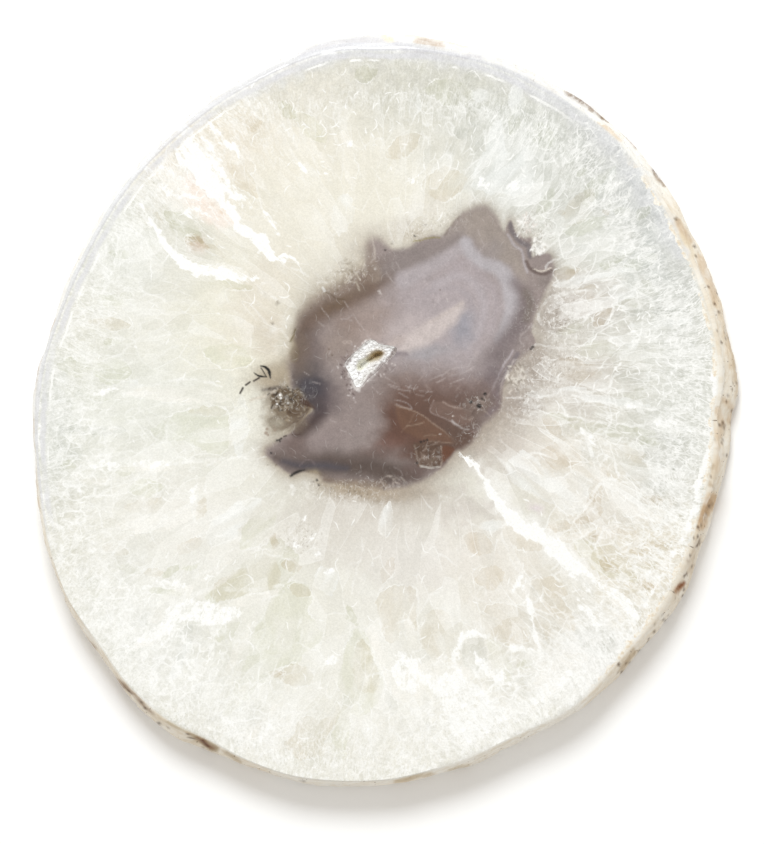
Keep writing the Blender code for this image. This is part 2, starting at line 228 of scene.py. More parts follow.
# Crystals of the quartz that show as plates of their own, by the colour they have, in pixels. A row
# of numbers is a pointed oval: its middle, half its length and width, and its turn in degrees,
# clockwise from the right. A row of places is an outline.
PLATE_TINTS = {
    "olive": (0.925, 0.935, 0.88), "moss": (0.86, 0.87, 0.80), "tan": (0.92, 0.89, 0.84),
    "bark": (0.87, 0.82, 0.75),
    "ash": (0.88, 0.888, 0.88), "mist": (0.98, 1.0, 1.0), "cream": (1.0, 0.97, 0.91),
}
PLATES = {
    "olive": rows("""
    262,612 276,594 290,583 308,584 313,596 309,616 318,624 322,642 306,652 298,664 276,668 262,682 248,700
    232,712 222,716 236,684 248,654 254,632;
    262,546 276,536 290,548 300,562 292,578 276,590 256,594 228,600 204,604 214,590 236,572;
    357,628 364,634 371,644 377,657 381,672 383,690 376,706 362,716 348,712 340,700 338,684 343,664 346,646
    351,634; 341 736 30 9 95; 258 528 30 12 -50; 192 567 12 3 -5; 500 660 26 9 62;
    152,430 160,424 172,416 186,410 200,407 214,406 226,410 229,425 229,440 228,450 222,454 208,454 196,446
    180,441 166,440 154,438; 146 488 19 10 -8; 112 371 21 15 0; 228 356 26 14 10; 110 300 16 6 10;
    598 350 22 10 -4; 612 430 50 7 6; 543 136 16 12 60; 595 190 20 11 -60; 610 176 10 7 -60; 586 226 25 9 -14;
    220 113 10 8 20; 572 326 20 7 -20; 312 128 22 10 40; 450 92 26 14 10; 640 262 20 8 -20; 545 204 20 8 -60;
    647 567 13 4 2; 606 560 40 15 32;
    """),
    "moss": rows("""
    228 631 16 8 -38; 352 616 12 5 62; 256 680 14 5 -14; 129 568 13 6 18; 171 571 11 5 -38; 125 472 14 5 -14;
    68 467 10 7 0; 95 398 22 3 2; 75 367 18 10 6; 112 342 11 4 14; 631 303 20 5 -6; 646 288 11 8 20;
    638 394 15 5 -10; 647 442 14 5 4; 514 122 17 7 95; 583 172 9 4 -8; 288 111 13 8 40; 365 74 13 9 -20;
    183 226 26 11 38; 524 665 9 5 -10; 622 255 22 5 -18; 622 211 9 6 0; 94 588 14 7 80; 605 264 6 4 70;
    165 592 18 3.5 4; 230 285 24 4 6; 560 418 24 3 6; 644 214 10 6 -40; 120 254 12 4 14; 126 295 10 4 -10;
    """),
    "tan": rows("""
    301 590 13 7 10; 358,640 366,642 373,655 378,672 377,688 368,694 358,690 354,672 354,655;
    298,722 308,716 320,720 330,716 338,704 342,712 334,726 326,738 328,752 316,758 302,760 290,754 286,742
    294,734; 420,640 422,622 430,612 440,610 450,616 452,625 456,634 450,645 451,658 444,663 432,658 424,650;
    376,600 384,590 400,586 416,590 416,612 417,634 408,620 400,622 398,640 388,640 380,622;
    212,590 222,578 240,568 258,562 263,550 267,547 272,556 278,566 280,580 276,588 262,592 246,595 228,600
    214,602; 296 676 20 12 10; 154 573 12 4 0; 115 549 14 7 10; 155 506 34 8 -4; 206 411 22 5 2;
    201 508 13 5 100; 590 293 18 8 8; 566 272 14 8 -10; 444 184 24 18 -10; 574 370 32 12 10;
    579 208 24 12 -55; 521 539 24 10 28; 490 578 18 12 -20; 505 612 22 9 10; 511 634 22 11 8;
    553 618 24 20 20; 549 588 20 12 20; 244 180 26 8 48; 215 250 14 5 30; 150 218 20 8 40; 404 146 22 10 -30;
    254 124 10 8 0; 570 537 14 7 -20; 640 549 24 7 -8; 628 470 30 15 12; 622 452 26 8 10; 665 550 10 6 60;
    650 518 12 7 20; 110 324 22 6 4; 195 240 8 7 30; 247 166 9 7 30;
    """),
    "bark": rows("""
    276 673 10 4 0; 189 546 17 7 -28; 602 317 15 6 -36; 594 500 22 8 100; 590 516 16 8 -20; 560 526 15 7 0;
    603 536 13 11 0; 625 531 13 6 20; 650 586 11 6 10; 561 456 22 14 10; 553 428 18 6 46; 196 243 14 7 24;
    568 274 10 6 -20; 653 501 14 6 8; 478 543 18 12 30; 218 211 12 4 55; 606 211 6 4 20; 562 212 5 4 0;
    291 566 12 6 10; 388 570 14 7 110; 610 566 14 6 30; 274 541 9 5 90;
    """),
    "ash": rows("""
    462,652 463,645 469,639 478,637 485,640 488,652 486,663 480,671 470,672 464,664; 391 703 14 5 72;
    427 701 9 5 75; 428 725 12 4 50; 452 707 7 3 80; 454 736 6 3 0; 468 737 8 3 4; 476 727 6 4 60;
    229 708 13 4 -52; 252 718 8 3 -20; 240 741 7 3 -60; 210 535 8 3 -40; 146 620 18 6 -24; 186 632 10 5 -50;
    193 692 9 5 -35; 159 665 9 7 -30; 648 311 38 5 -4; 632 377 22 10 4; 590 458 22 6 66; 676 506 5 4 0;
    600 642 28 18 24; 660 330 26 6 -6; 680 372 12 6 10; 624 190 11 6 -40; 586 140 14 10 20; 430 152 12 6 100;
    461 132 8 7 0; 472 80 10 8 80; 156 183 6 4 20; 71 338 6 3 0; 104 430 24 5 0; 660 468 18 6 10;
    672 440 16 6 0; 590 158 12 6 -60; 610 152 12 6 -30; 640 186 12 7 60; 655 215 12 6 60; 76 430 20 4 0;
    80 452 16 4 0; 132 686 8 4 -30; 208 655 10 4 -60; 180 660 8 4 -60; 346 700 8 4 60; 572 250 22 7 -10;
    """),
    "mist": rows("""
    240 426 32 9 92; 128 387 13 6 -40; 327 580 16 12 70;
    206,540 210,524 222,514 236,503 250,498 262,500 252,512 244,524 236,536 228,544 214,548;
    506,470 514,458 524,450 534,456 540,462 544,470 560,472 575,472 590,478 596,484 592,492 590,500 580,510
    570,514 560,510 546,500 530,492 514,484;
    484,150 492,122 500,120 504,138 508,156 518,142 526,122 530,122 528,142 534,156 534,176 528,192 512,196
    496,194 480,192 472,180 478,164; 492 526 14 6 -6; 622 291 15 10 0; 414 103 20 7 95; 343 213 22 12 100;
    612 272 26 4 -14; 572 281 22 4 -14; 386 522 20 7 95; 660 324 34 5 -4; 606 186 20 4 -62; 180 660 30 5 -66;
    628 350 16 6 -50; 610 400 44 4 8; 556 392 30 5 -6; 516 100 8 20 0; 480 96 10 7 0;
    """),
    "cream": rows("""
    238 650 30 5 -62; 158 520 42 13 -10; 174 394 60 9 4; 172 465 60 5 -4; 410 632 22 5 70; 378 650 32 5 76;
    326 160 12 6 50; 440 690 48 34 0; 250 600 34 5 -14; 170 604 30 10 -40; 228 272 26 7 8; 238 698 26 5 -52;
    262 724 26 4 -50; 200 676 24 4 -60; 222 208 30 6 42; 176 186 26 8 40; 620 604 24 8 50; 596 470 16 4 64;
    640 514 26 6 14; 660 560 26 4 50; 582 534 30 3 -14; 562 668 30 12 -24; 520 700 40 16 -16; 124 690 20 6 40;
    348 160 30 8 80; 152 640 26 5 -20; 60 405 16 3 8; 114 428 7 3 0; 92 480 30 3 0; 214 164 26 6 46;
    """),
}
PLATE_REACH = 8.0
# White crystals, as the plates are
WHITES = rows("""
148,632 160,620 172,606 186,598 204,600 222,604 236,609 246,613 240,618 228,620 214,625 200,624 186,622
172,630 158,639 140,642 130,640 140,636;
140,584 150,582 162,580 176,580 187,584 184,588 172,587 158,586 150,589 142,590;
455,642 460,633 470,629 480,632 487,636 478,636 467,638 461,645 460,656 462,672 456,676 452,662;
398,652 410,655 419,662 426,672 440,672 452,664 466,678 482,690 500,700 506,716 490,730 476,740 460,742
450,730 441,712 436,698 430,692 424,690 419,700 412,694 400,690 392,678; 331 661 7 4 -6; 262 734 20 4 -56;
366 728 8 3 95; 102 391 18 2.4 -4; 106 465 18 4 -6; 150 463 24 3.4 4; 193 494 13 4 -70; 91 551 8 4 70;
330 571 6 3 -30; 310 538 9 3 -40; 296 545 6 2.4 10; 304 520 8 2.2 -50; 318 552 6 2 -20; 530 187 5 3 60;
412 180 9 4 -30; 348 141 7 4 60; 512 186 12 6 -20; 484 182 10 5 60; 634 343 6 2.6 -40; 636 334 6 2 20;
616 368 9 2 -50; 668 423 20 2 -4; 634 405 8 2 0; 588 437 13 3 54; 486 668 26 6 50; 500 676 16 5 40;
520 648 18 3 14; 516 584 12 5 -60; 590 614 20 5 44; 626 606 20 6 56; 610 592 26 5 40; 566 678 16 5 -60;
544 694 18 6 -40; 46 497 6 4 20; 108 667 4 2 30; 196 120 12 4 50; 214 130 16 3 48; 208 146 12 3 60;
224 140 14 2.4 50; 236 148 12 2.2 60; 186 130 12 6 40; 150 168 14 3 30; 172 172 16 3 34; 166 190 22 2.4 30;
192 196 18 3 34; 200 212 16 2.6 24; 185 160 18 5 50; 230 190 30 4 48; 272 222 15 4 55; 300 168 12 2 40;
320 172 10 2 20; 212 576 10 3 -34; 148 642 22 3 -10; 190 680 10 3 -50; 160 646 6 3 -30;
""")


def paint_plates(canvas):
    """The quartz's single crystals, kept as the distance inside their edges."""
    for name, rows in PLATES.items():
        for row in rows:
            inside = canvas.crystal(row, 2.2)
            canvas.plates[name] = np.maximum(canvas.plates[name], np.clip(inside, -PLATE_REACH, PLATE_REACH))
    for row in WHITES:
        near = np.clip(1 + canvas.crystal(row, 3.4) / VEIN_REACH, 0, 1.16)
        canvas.milk = np.maximum(canvas.milk, near)


# How far from a white vein and from a thin seam, in pixels, their nearness fades out
VEIN_REACH = 4.0
SEAM_REACH = 3.0


class Canvas:
    """Colours at the mesh's points, laid over each other with soft or ragged edges."""

    def __init__(self, places):
        self.places = places
        self.wander = np.stack([layered_noise(places, 9, 3, seed) for seed in (3, 11)], axis=1)
        self.tone = np.ones((len(places), 3))
        self.milk = np.zeros(len(places))
        self.haze = np.full(len(places), 0.3)
        self.calm = np.zeros(len(places))
        self.seam = np.zeros(len(places))
        self.seam_strength = np.zeros(len(places))
        self.flecks = np.zeros(len(places))
        self.lace = np.zeros(len(places))
        self.marks = np.zeros(len(places))
        self.plates = {name: np.full(len(places), -PLATE_REACH) for name in PLATE_TINTS}

    def ragged(self, rough):
        """The places, moved about so that an edge drawn on them is uneven."""
        return self.places + self.wander * rough

    def lay(self, amount, colour):
        """Lays a colour over the tone, by an amount from 0 to 1 at each point."""
        self.tone += np.clip(amount, 0, 1)[:, None] * (stone_colour(colour) - self.tone)

    def oval(self, x, y, across, down, turn, rough):
        """1 in the middle of a soft oval, turned by some degrees, falling to 0 outside it."""
        off = self.ragged(rough) - (x, y)
        cos, sin = math.cos(math.radians(turn)), math.sin(math.radians(turn))
        u = (off[:, 0] * cos + off[:, 1] * sin) / across
        v = (off[:, 1] * cos - off[:, 0] * sin) / down
        return np.exp(-1.2 * (u * u + v * v) ** 1.4)

    def glow(self, x, y, across, down, turn, colour, amount=1.0, rough=3.0):
        """A soft oval patch of colour."""
        self.lay(amount * self.oval(x, y, across, down, turn, rough), colour)

    def depth(self, outline, rough):
        ring = smooth_line(outline, closed=True, steps=4)
        return depth_inside(self.ragged(rough), ring, 2 * np.ptp(ring, axis=0).max())[0]

    def fill(self, outline, colour, amount=1.0, soft=2.0, rough=1.5):
        """A patch inside an outline."""
        self.lay(amount * rise(-soft, soft, self.depth(outline, rough)), colour)

    def quiet(self, outline, amount=1.0, soft=6.0):
        """A place where the quartz's own pattern hardly shows."""
        self.calm = np.maximum(self.calm, amount * rise(-soft, soft, self.depth(outline, 3)))

    def line(self, line, width, reach, rough):
        """The points near a line, how far each is outside the line's edge."""
        widths = np.atleast_1d(np.array(width, dtype=float))
        picked, gap, along = near_line(self.ragged(rough), smooth_line(line), widths.max() / 2 + reach)
        return picked, gap - np.interp(along, np.linspace(0, 1, len(widths)), widths) / 2

    def stroke(self, line, width, colour, amount=1.0, soft=1.2, rough=0.8):
        """A line, with one width or a width for each part of its length."""
        picked, gap = self.line(line, width, soft * 2, rough)
        spread = np.zeros(len(self.places))
        spread[picked] = rise(soft, -soft, gap)
        self.lay(amount * spread, colour)

    def vein(self, line, width, strength=1.0, rough=1.5):
        """A white line, kept as nearness to it, which the material turns into torn white."""
        picked, gap = self.line(line, width, VEIN_REACH, rough)
        near = strength * np.clip(1 - gap / VEIN_REACH, 0, 1.5)
        self.milk[picked] = np.maximum(self.milk[picked], near)

    def join_line(self, line, width, strength, rough=1.5):
        """A thin light line, kept as nearness to it and strength."""
        picked, gap = self.line(line, width, SEAM_REACH * 2, rough)
        self.seam[picked] = np.maximum(self.seam[picked], np.clip(1 - gap / SEAM_REACH, 0, 1.5))
        self.seam_strength[picked] = np.maximum(self.seam_strength[picked], strength)

    def white(self, outline, strength=1.0, rough=2.0):
        """A white patch, kept as a vein is."""
        near = strength * np.clip(1 + self.depth(outline, rough) / VEIN_REACH, 0, 1.36)
        self.milk = np.maximum(self.milk, near)

    def crystal(self, row, rough):
        """The distance inside a crystal that is given as an outline or a pointed oval."""
        if isinstance(row[0], tuple):
            return self.depth(row, rough)
        x, y, long, short, turn = row
        off = self.ragged(rough) - (x, y)
        cos, sin = math.cos(math.radians(turn)), math.sin(math.radians(turn))
        u = np.abs(off[:, 0] * cos + off[:, 1] * sin) / long
        v = np.abs(off[:, 1] * cos - off[:, 0] * sin) / short
        size = (u ** 1.4 + v ** 1.4) ** (1 / 1.4)
        return (1 - size) * size / np.hypot(u / long, v / short).clip(1e-6)

    def dots(self, spots, colour, amount=1.0):
        """Small round marks, each with its place and radius."""
        for x, y, radius in spots:
            gap = np.hypot(*(self.places - (x, y)).T)
            self.lay(amount * rise(radius + 0.9, radius - 0.5, gap), colour)

    def scatter(self, outline, count, sizes, seed, amount, *colours):
        """Small short strokes scattered inside an outline."""
        rng = np.random.default_rng(seed)
        ring = np.array(outline, dtype=float)
        low, high = ring.min(0), ring.max(0)
        near = np.flatnonzero(((self.places > low - 14) & (self.places < high + 14)).all(axis=1))
        part = copy.copy(self)
        part.places, part.wander, part.tone = self.places[near], self.wander[near], self.tone[near]
        for k in range(count):
            spot = rng.uniform(low, high)
            turn, size = rng.uniform(0, math.tau), rng.uniform(*sizes)
            if inside_outline(spot[None], ring)[0]:
                end = spot + size * np.array([math.cos(turn), math.sin(turn)])
                part.stroke([spot, end], 1.3, colours[k % len(colours)], amount, soft=0.8, rough=0.3)
        self.tone[near] = part.tone


    def draw(self, table):
        """Draws a table's rows: each starts with what it draws, and the rest are what that takes."""
        for row in table.split(";"):
            verb, _, rest = row.strip().partition(" ")
            if verb.isalpha():
                first, *more = rows(rest)[0]
                more = more[0] if isinstance(first, list) else more
                getattr(self, verb)(first, *more)


# The dark agate's outline, clockwise from its top, with the softness of its border at each point
CORE = np.array(rows("""
470,210,5 478,207,5 487,208,4 494,214,4 499,222,3 503,232,1.5 507,225,1 510,220,1 513,226,1.5 517,233,1.5
524,238,1.5 531,238,1.5 532,248,1.5 532,257,2 540,254,3 549,254,3 553,262,3 554,275,2.5 547,287,3 543,296,3
539,306,1.5 534,315,1 533,324,2 531,332,4 535,340,4 533,349,3 526,354,2 517,362,1.5 510,372,1.5 504,383,1.5
502,394,3 502,404,4 498,413,4 490,420,5 482,427,4 477,435,3 470,443,3 461,449,2 455,451,1.5 449,461,3
440,470,4 428,477,4 412,484,4 402,487,4 390,488,5 375,486,6 360,484,7 345,482,6 331,482,5 323,480,3 318,475,2
311,473,1.2 303,472,1 293,475,1.2 283,469,2 273,461,2 266,455,3 266,449,4 274,443,4 283,438,2 291,433,1.2
298,426,1 306,417,1 313,409,1 308,402,2 299,399,3 293,390,3.5 290,378,6 289,366,8 291,357,6 295,346,4
295,337,4 298,326,7 302,316,10 309,307,12 319,300,13 329,294,13 340,289,13 349,282,13 357,275,12 363,268,7
366,258,4 366,246,5 371,239,5 378,238,6 385,243,5 391,249,3 400,250,4 410,247,4 416,241,3 428,237,3 441,236,3
448,229,1.5 455,221,1.5 462,214,3
""")[0])

def paint_quartz(canvas):
    """The broad tones of the quartz where it is clear, and how milky it is."""
    canvas.lay(np.ones(len(canvas.places)), (233, 231, 221))
    # Each zone: its middle, how far across and down, its turn, its clear tone and its milkiness
    zones = rows("""
    640 260 90 120 0 216,218,211 .25; 560 170 90 70 40 216,217,211 .25; 640 190 34 90 -32 209,211,210 0;
    660 262 26 40 -20 206,209,206 0; 590 130 34 20 35 212,212,212 0; 620 420 100 70 0 221,220,211 .25;
    690 400 40 90 0 222,223,217 .4; 350 85 110 30 -5 207,206,194 0; 450 100 90 45 10 212,211,201 .1;
    505 172 34 30 10 219,221,216 .5; 680 300 20 50 0 212,213,208 .1; 300 106 60 26 -20 214,211,201 0;
    530 130 60 30 20 211,213,207 .1; 372 512 56 15 0 204,196,185 0; 462 508 40 16 0 213,206,199 .1;
    385 625 50 60 0 242,240,233 .35; 190 560 60 34 0 244,243,237 .5; 258 712 40 34 0 253,252,249 .6;
    290 180 100 90 0 241,236,223 .2; 180 170 50 50 0 240,233,222 .6; 216 134 50 36 0 237,229,214 .4;
    350 205 80 40 0 239,235,222 .2; 240 330 60 60 0 238,235,219 .25; 110 240 60 60 -40 235,236,230 .35;
    120 420 90 70 0 234,235,227 .3; 54 425 18 70 0 218,220,214 .1; 200 520 90 40 30 240,238,231 .5;
    160 640 90 50 35 240,240,235 .6; 480 710 80 50 0 241,239,232 .9; 400 700 90 60 0 241,239,231 .5;
    598 656 60 50 0 251,250,248 .6; 650 560 50 60 0 234,227,213 .3; 612 552 64 36 24 229,221,204 .1;
    606 508 40 30 0 232,228,220 .2; 552 458 60 36 30 236,230,220 .3; 664 470 24 40 0 213,213,207 .1;
    360 530 80 40 0 222,217,209 .1; 485 562 50 36 0 239,234,227 .25; 410 562 40 30 0 233,229,223 .1;
    566 378 50 36 0 213,206,198 .1; 580 300 46 30 20 218,212,206 .1; 500 445 34 26 0 211,203,195 .2;
    265 640 60 60 -40 236,235,226 .2; 520 600 50 50 0 232,227,217 .3; 300 600 40 30 0 238,236,227 .2;
    """)
    for x, y, across, down, turn, colour, haze in zones:
        share = 0.85 * canvas.oval(x, y, across * 1.25, down * 1.25, turn, 14)
        canvas.lay(share, colour)
        canvas.haze += share * (haze - canvas.haze)
    canvas.draw("""
    quiet 270,72 330,48 420,50 500,66 570,98 620,140 668,210 690,270 664,270 630,200 590,150 530,112 450,96
    360,90 290,100 / .78 12;
    """)
    # Where small crystals make a net of white lines, and where there are many bright marks
    for x, y, across, down, turn, share in rows("""
            650 556 60 44 0 .75; 600 530 50 26 20 .6; 504 684 40 44 20 1; 452 716 56 26 0 .9;
            680 400 34 130 0 .5; 650 320 50 40 0 .4; 676 470 30 40 0 .5; 640 250 44 44 0 .5;
            556 640 60 40 -30 .5; 180 660 60 50 40 .9; 250 720 60 34 30 .8; 610 420 60 50 0 .4;
            150 470 60 60 0 .4; 80 480 34 110 10 .85; 120 600 40 50 30 .8; 90 290 34 60 20 .6;
            600 150 60 50 40 .4;
    """):
        canvas.lace = np.maximum(canvas.lace, share * canvas.oval(x, y, across, down, turn, 9))
    for x, y, across, down, turn in (
        (640, 330, 80, 170, 0), (540, 150, 110, 80, 30), (350, 110, 110, 50, -10),
        (180, 180, 60, 60, 0), (200, 640, 100, 80, 40), (640, 560, 60, 60, 0),
    ):
        canvas.marks = np.maximum(canvas.marks, canvas.oval(x, y, across, down, turn, 9))


# The smoky halo outside the agate: an angle round its middle, clockwise from the right in degrees,
# with the halo's reach in pixels and its strength there
HALO = np.array(rows("""
0,15,.7 20,20,.85 40,22,.85 60,15,.85 90,15,.8 115,13,.8 135,9,.5 160,9,.5 180,12,.6 200,8,.6 220,14,.75
240,17,.7 260,9,.5 290,8,.6 310,8,.6 330,8,.5 350,14,.7 360,15,.7
""")[0])


def paint_halo(canvas, depth):
    """The smoky and tan quartz round the agate, where the quartz's own pattern hardly shows."""
    away = canvas.places - (405, 360)
    turn = np.degrees(np.arctan2(away[:, 1], away[:, 0])) % 360
    reach, strength = (np.interp(turn, HALO[:, 0], HALO[:, k]) for k in (1, 2))
    halo = strength * np.exp(-(np.clip(-depth, 0, 200) / reach) ** 1.25)
    canvas.draw("""
    glow 262 300 34 60 30 229,221,207 .7 10;
    """)
    canvas.lay(halo, (163, 150, 137))
    canvas.lay(halo * rise(110, 130, turn) * rise(260, 235, turn) * 0.8, (158, 142, 118))
    canvas.calm = np.maximum(canvas.calm, rise(0.03, 0.5, halo))
    canvas.draw("""
    glow 272 376 26 15 -8 176,162,140 .85; glow 282 398 22 17 30 136,121,104 .85;
    glow 288 420 24 12 -30 152,138,120 .7;
    quiet 230,366 262,354 298,352 306,400 300,436 262,444 236,412 / 1 10;
    glow 408 232 34 16 -14 206,198,184 .75 6; glow 428 208 24 12 -20 222,216,204 .7 6;
    glow 270 336 18 26 10 216,206,190 .7 8; glow 362 490 40 11 4 166,148,124 .75;
    glow 400 492 44 12 0 176,163,148 .7; glow 546 262 12 10 0 160,151,140 .5;
    glow 547 318 20 26 10 174,164,155 .8 9; glow 532 368 28 22 -30 176,166,157 .85 9;
    glow 516 402 24 22 -40 172,161,153 .8 9;
    """)
    for x, y, across, down, turn in rows("""
            556 316 40 34 0; 546 366 44 30 -20; 520 402 34 22 -40; 284 402 26 22 0; 352 490 60 14 0;
            536 226 24 22 0; 476 404 18 12 0; 470 436 14 12 0; 430 456 16 12 0; 350 274 44 14 -30;
            300 540 24 20 0; 430 224 40 12 -16;
    """):
        canvas.flecks = np.maximum(canvas.flecks, canvas.oval(x, y, across, down, turn, 9))


def paint_agate(canvas):
    """The banded agate: smoky at its upper left, lavender inside and russet at the bottom."""
    ring = smooth_line(CORE, closed=True, steps=3)
    depth, share = depth_inside(canvas.ragged(1.0), ring[:, :2], 200)
    paint_halo(canvas, depth)
    soft = np.interp(share, np.arange(len(ring) + 1) / len(ring), np.append(ring[:, 2], ring[0, 2]))
    inside = rise(-soft, soft, depth)
    canvas.lay(inside, (156, 144, 141))
    under = canvas.tone.copy()

    canvas.draw("""
    fill 446,236 456,222 470,209 488,208 500,226 512,240 524,262 524,282 508,268 488,256 470,240 456,246 /
    166,155,148 1 7;
    fill 394,286 420,268 452,248 466,245 490,268 506,284 510,310 500,340 482,366 450,376 420,370 396,362
    384,340 386,312 / 176,166,168 1 26 8;
    stroke 300,352 301,334 313,316 332,304 350,298 366,288 384,272 / 20,24,28,26,22 118,101,91 .95 9;
    glow 338 302 22 7 -28 104,86,68 .6; glow 303 330 8 16 20 106,88,74 .7;
    stroke 378,272 400,262 424,254 446,246 458,236 / 14,26,26,10 144,134,132 .9 9;
    stroke 367,246 370,262 374,276 / 8,12,14 160,146,134 .6 4;
    # The light ring and the bands inside it;
    stroke 404,280 424,270 444,259 458,250 466,243 / 18,14,12,10 181,173,176 .8 5;
    stroke 466,243 472,254 484,263 498,268 507,279 511,294 512,308 508,325 501,340 / 12,14,16,13 187,182,186
    .9 4; stroke 452,274 466,262 480,276 492,290 496,308 490,328 / 5 176,166,169 .7 4;
    stroke 436,284 462,276 480,292 484,310 478,332 466,346 / 7 185,177,181 .7 5;
    stroke 424,292 452,288 468,296 474,308 474,326 / 4 172,164,168 .6 4; glow 463 328 13 20 10 160,158,166 .9;
    glow 428 352 26 9 -8 167,164,168 .7;
    fill 398,350 402,340 411,331 428,321 446,311 461,303 464,308 457,320 446,332 432,342 416,349 404,354 /
    206,195,192 .9 5; stroke 430,322 448,312 462,303 / 3 198,186,180 .5 2;
    glow 396 341 12 6 -30 194,180,174 .7; stroke 388,358 396,354 406,354 / 4 126,116,121 .75 3;
    # The dark right border with its fortification lines;
    stroke 515,283 524,296 523,312 516,328 506,342 497,356 490,370 484,384 / 8,14,18,20,20,14 132,121,122 .95
    8; stroke 526,292 530,304 527,318 / 8 128,118,112 .8 4;
    stroke 488,366 476,376 460,384 440,388 / 14 160,149,150 .6 7;
    stroke 508,235 511,241 515,246 520,249 523,254 524,262 527,272 / 2.4 188,181,184 .75 1;
    stroke 510,224 514,234 520,242 528,246 530,256 / 5 122,115,118 .8 1.8;
    stroke 526,262 529,268 536,273 546,273 551,271 / 3.4 110,96,92 .85;
    stroke 533,269 539,271 546,270 551,268 / 1.3 226,216,204 .9 .7; glow 544 281 7 7 40 140,130,126 .7;
    stroke 532,324 526,331 521,335 520,341 524,346 / 1.6 176,166,164 .7 .8;
    stroke 513,350 507,360 501,371 496,382 492,391 / 1.8 186,177,181 .85 .8;
    stroke 517,354 511,365 505,376 499,386 496,396 / 5 136,127,130 .9 1.5;
    stroke 514,360 508,371 502,382 500,394 / 1.5 192,182,178 .8 .8;
    fill 492,390 498,392 499,404 494,413 486,416 488,404 / 142,131,138 .9 1.5;
    # Left and centre;
    glow 310 352 18 30 0 118,106,104 .8; glow 366 322 32 18 -30 166,150,144 .85;
    glow 340 345 20 14 -30 152,137,128 .6; glow 347 414 34 26 -30 155,142,139 .9;
    glow 322 440 30 12 -20 152,139,137 .8; glow 310 391 20 20 -25 88,83,87; glow 302 388 9 11 -25 76,72,78 .7;
    glow 308 370 14 12 0 112,104,104 .7;
    stroke 302,396 314,402 321,410 311,424 298,435 / 12,15,10 82,70,70 .95 7;
    glow 296 444 12 6 -30 124,108,104 .7; glow 404 328 26 14 -30 196,184,182 .55;
    glow 372 338 18 9 -20 184,168,162 .5; glow 296 352 10 22 8 124,110,98 .7;
    glow 300 376 12 12 0 112,102,98 .8; glow 324 398 20 16 20 106,95,97 .85;
    glow 352 284 30 13 -32 136,120,109 .8; glow 346 326 15 12 0 146,129,121 .75;
    glow 494 250 12 12 0 156,147,145 .6; glow 294 450 18 11 10 122,107,103 .85;
    glow 298 424 12 12 -40 112,98,90 .8; glow 298 398 12 9 20 98,86,78 .7; glow 300 372 14 16 0 112,101,96 .7;
    glow 420 450 16 10 0 106,85,76 .8; glow 394 474 20 8 0 118,104,98 .8; glow 312 472 16 7 8 130,116,107 .85;
    glow 340 340 16 16 0 158,144,138 .6; glow 370 377 16 12 -30 172,163,161 .5;
    glow 398 380 20 10 0 140,125,119 .6; glow 494 378 9 16 30 126,115,118 .7;
    glow 312 389 17 16 -20 82,79,85 .9; glow 317 404 12 11 20 88,80,82 .85; glow 300 352 9 20 8 118,104,96 .7;
    # Russet and brown at the bottom right;
    glow 440 392 60 20 4 133,113,107 .9; glow 470 404 32 18 -10 118,100,95 .85;
    glow 412 409 30 14 15 112,84,71 .9;
    fill 384,408 402,406 420,416 418,436 406,448 392,448 378,442 382,426 / 106,79,69 .95 12 4;
    fill 404,404 430,400 450,416 474,434 470,446 456,454 440,466 410,452 / 106,80,70 .9 9 3;
    glow 412 454 20 9 -10 106,84,76 .85; glow 388 444 16 8 -20 122,95,87 .8;
    glow 376 454 26 7 -6 122,105,100 .8; stroke 402,392 424,398 446,406 470,416 / 8 124,98,88 .5 5;
    glow 322 458 30 9 0 120,108,106 .5; glow 430 404 40 14 10 114,92,84 .8;
    glow 444 446 24 18 -20 104,84,75 .8; glow 464 424 22 12 0 114,98,92 .7;
    glow 452 418 28 16 10 110,91,83 .65; glow 486 404 14 12 0 130,117,112 .6;
    glow 434 408 52 22 8 106,85,76 .35;
    # The dark blue band along the bottom;
    stroke 276,457 288,463 304,465 326,464 350,466 374,468 396,474 414,474 / 9,16,22,24,24,18 97,85,80 .95 10;
    stroke 284,462 304,466 326,466 346,468 / 5,8,5 88,86,94 .8 5; glow 420 468 22 10 -20 114,98,94 .85;
    stroke 324,480 345,484 366,486 384,486 / 4,9,8 128,110,92 .8 4; glow 311 477 9 7 0 178,164,138 .85;
    """)
    x, y = canvas.places.T
    canvas.tone *= 1 - 0.055 * (rise(335, 390, y) + rise(450, 480, x) * rise(300, 250, y)).clip(0, 1)[:, None]
    canvas.tone = under + inside[:, None] * (canvas.tone - under)
    return inside


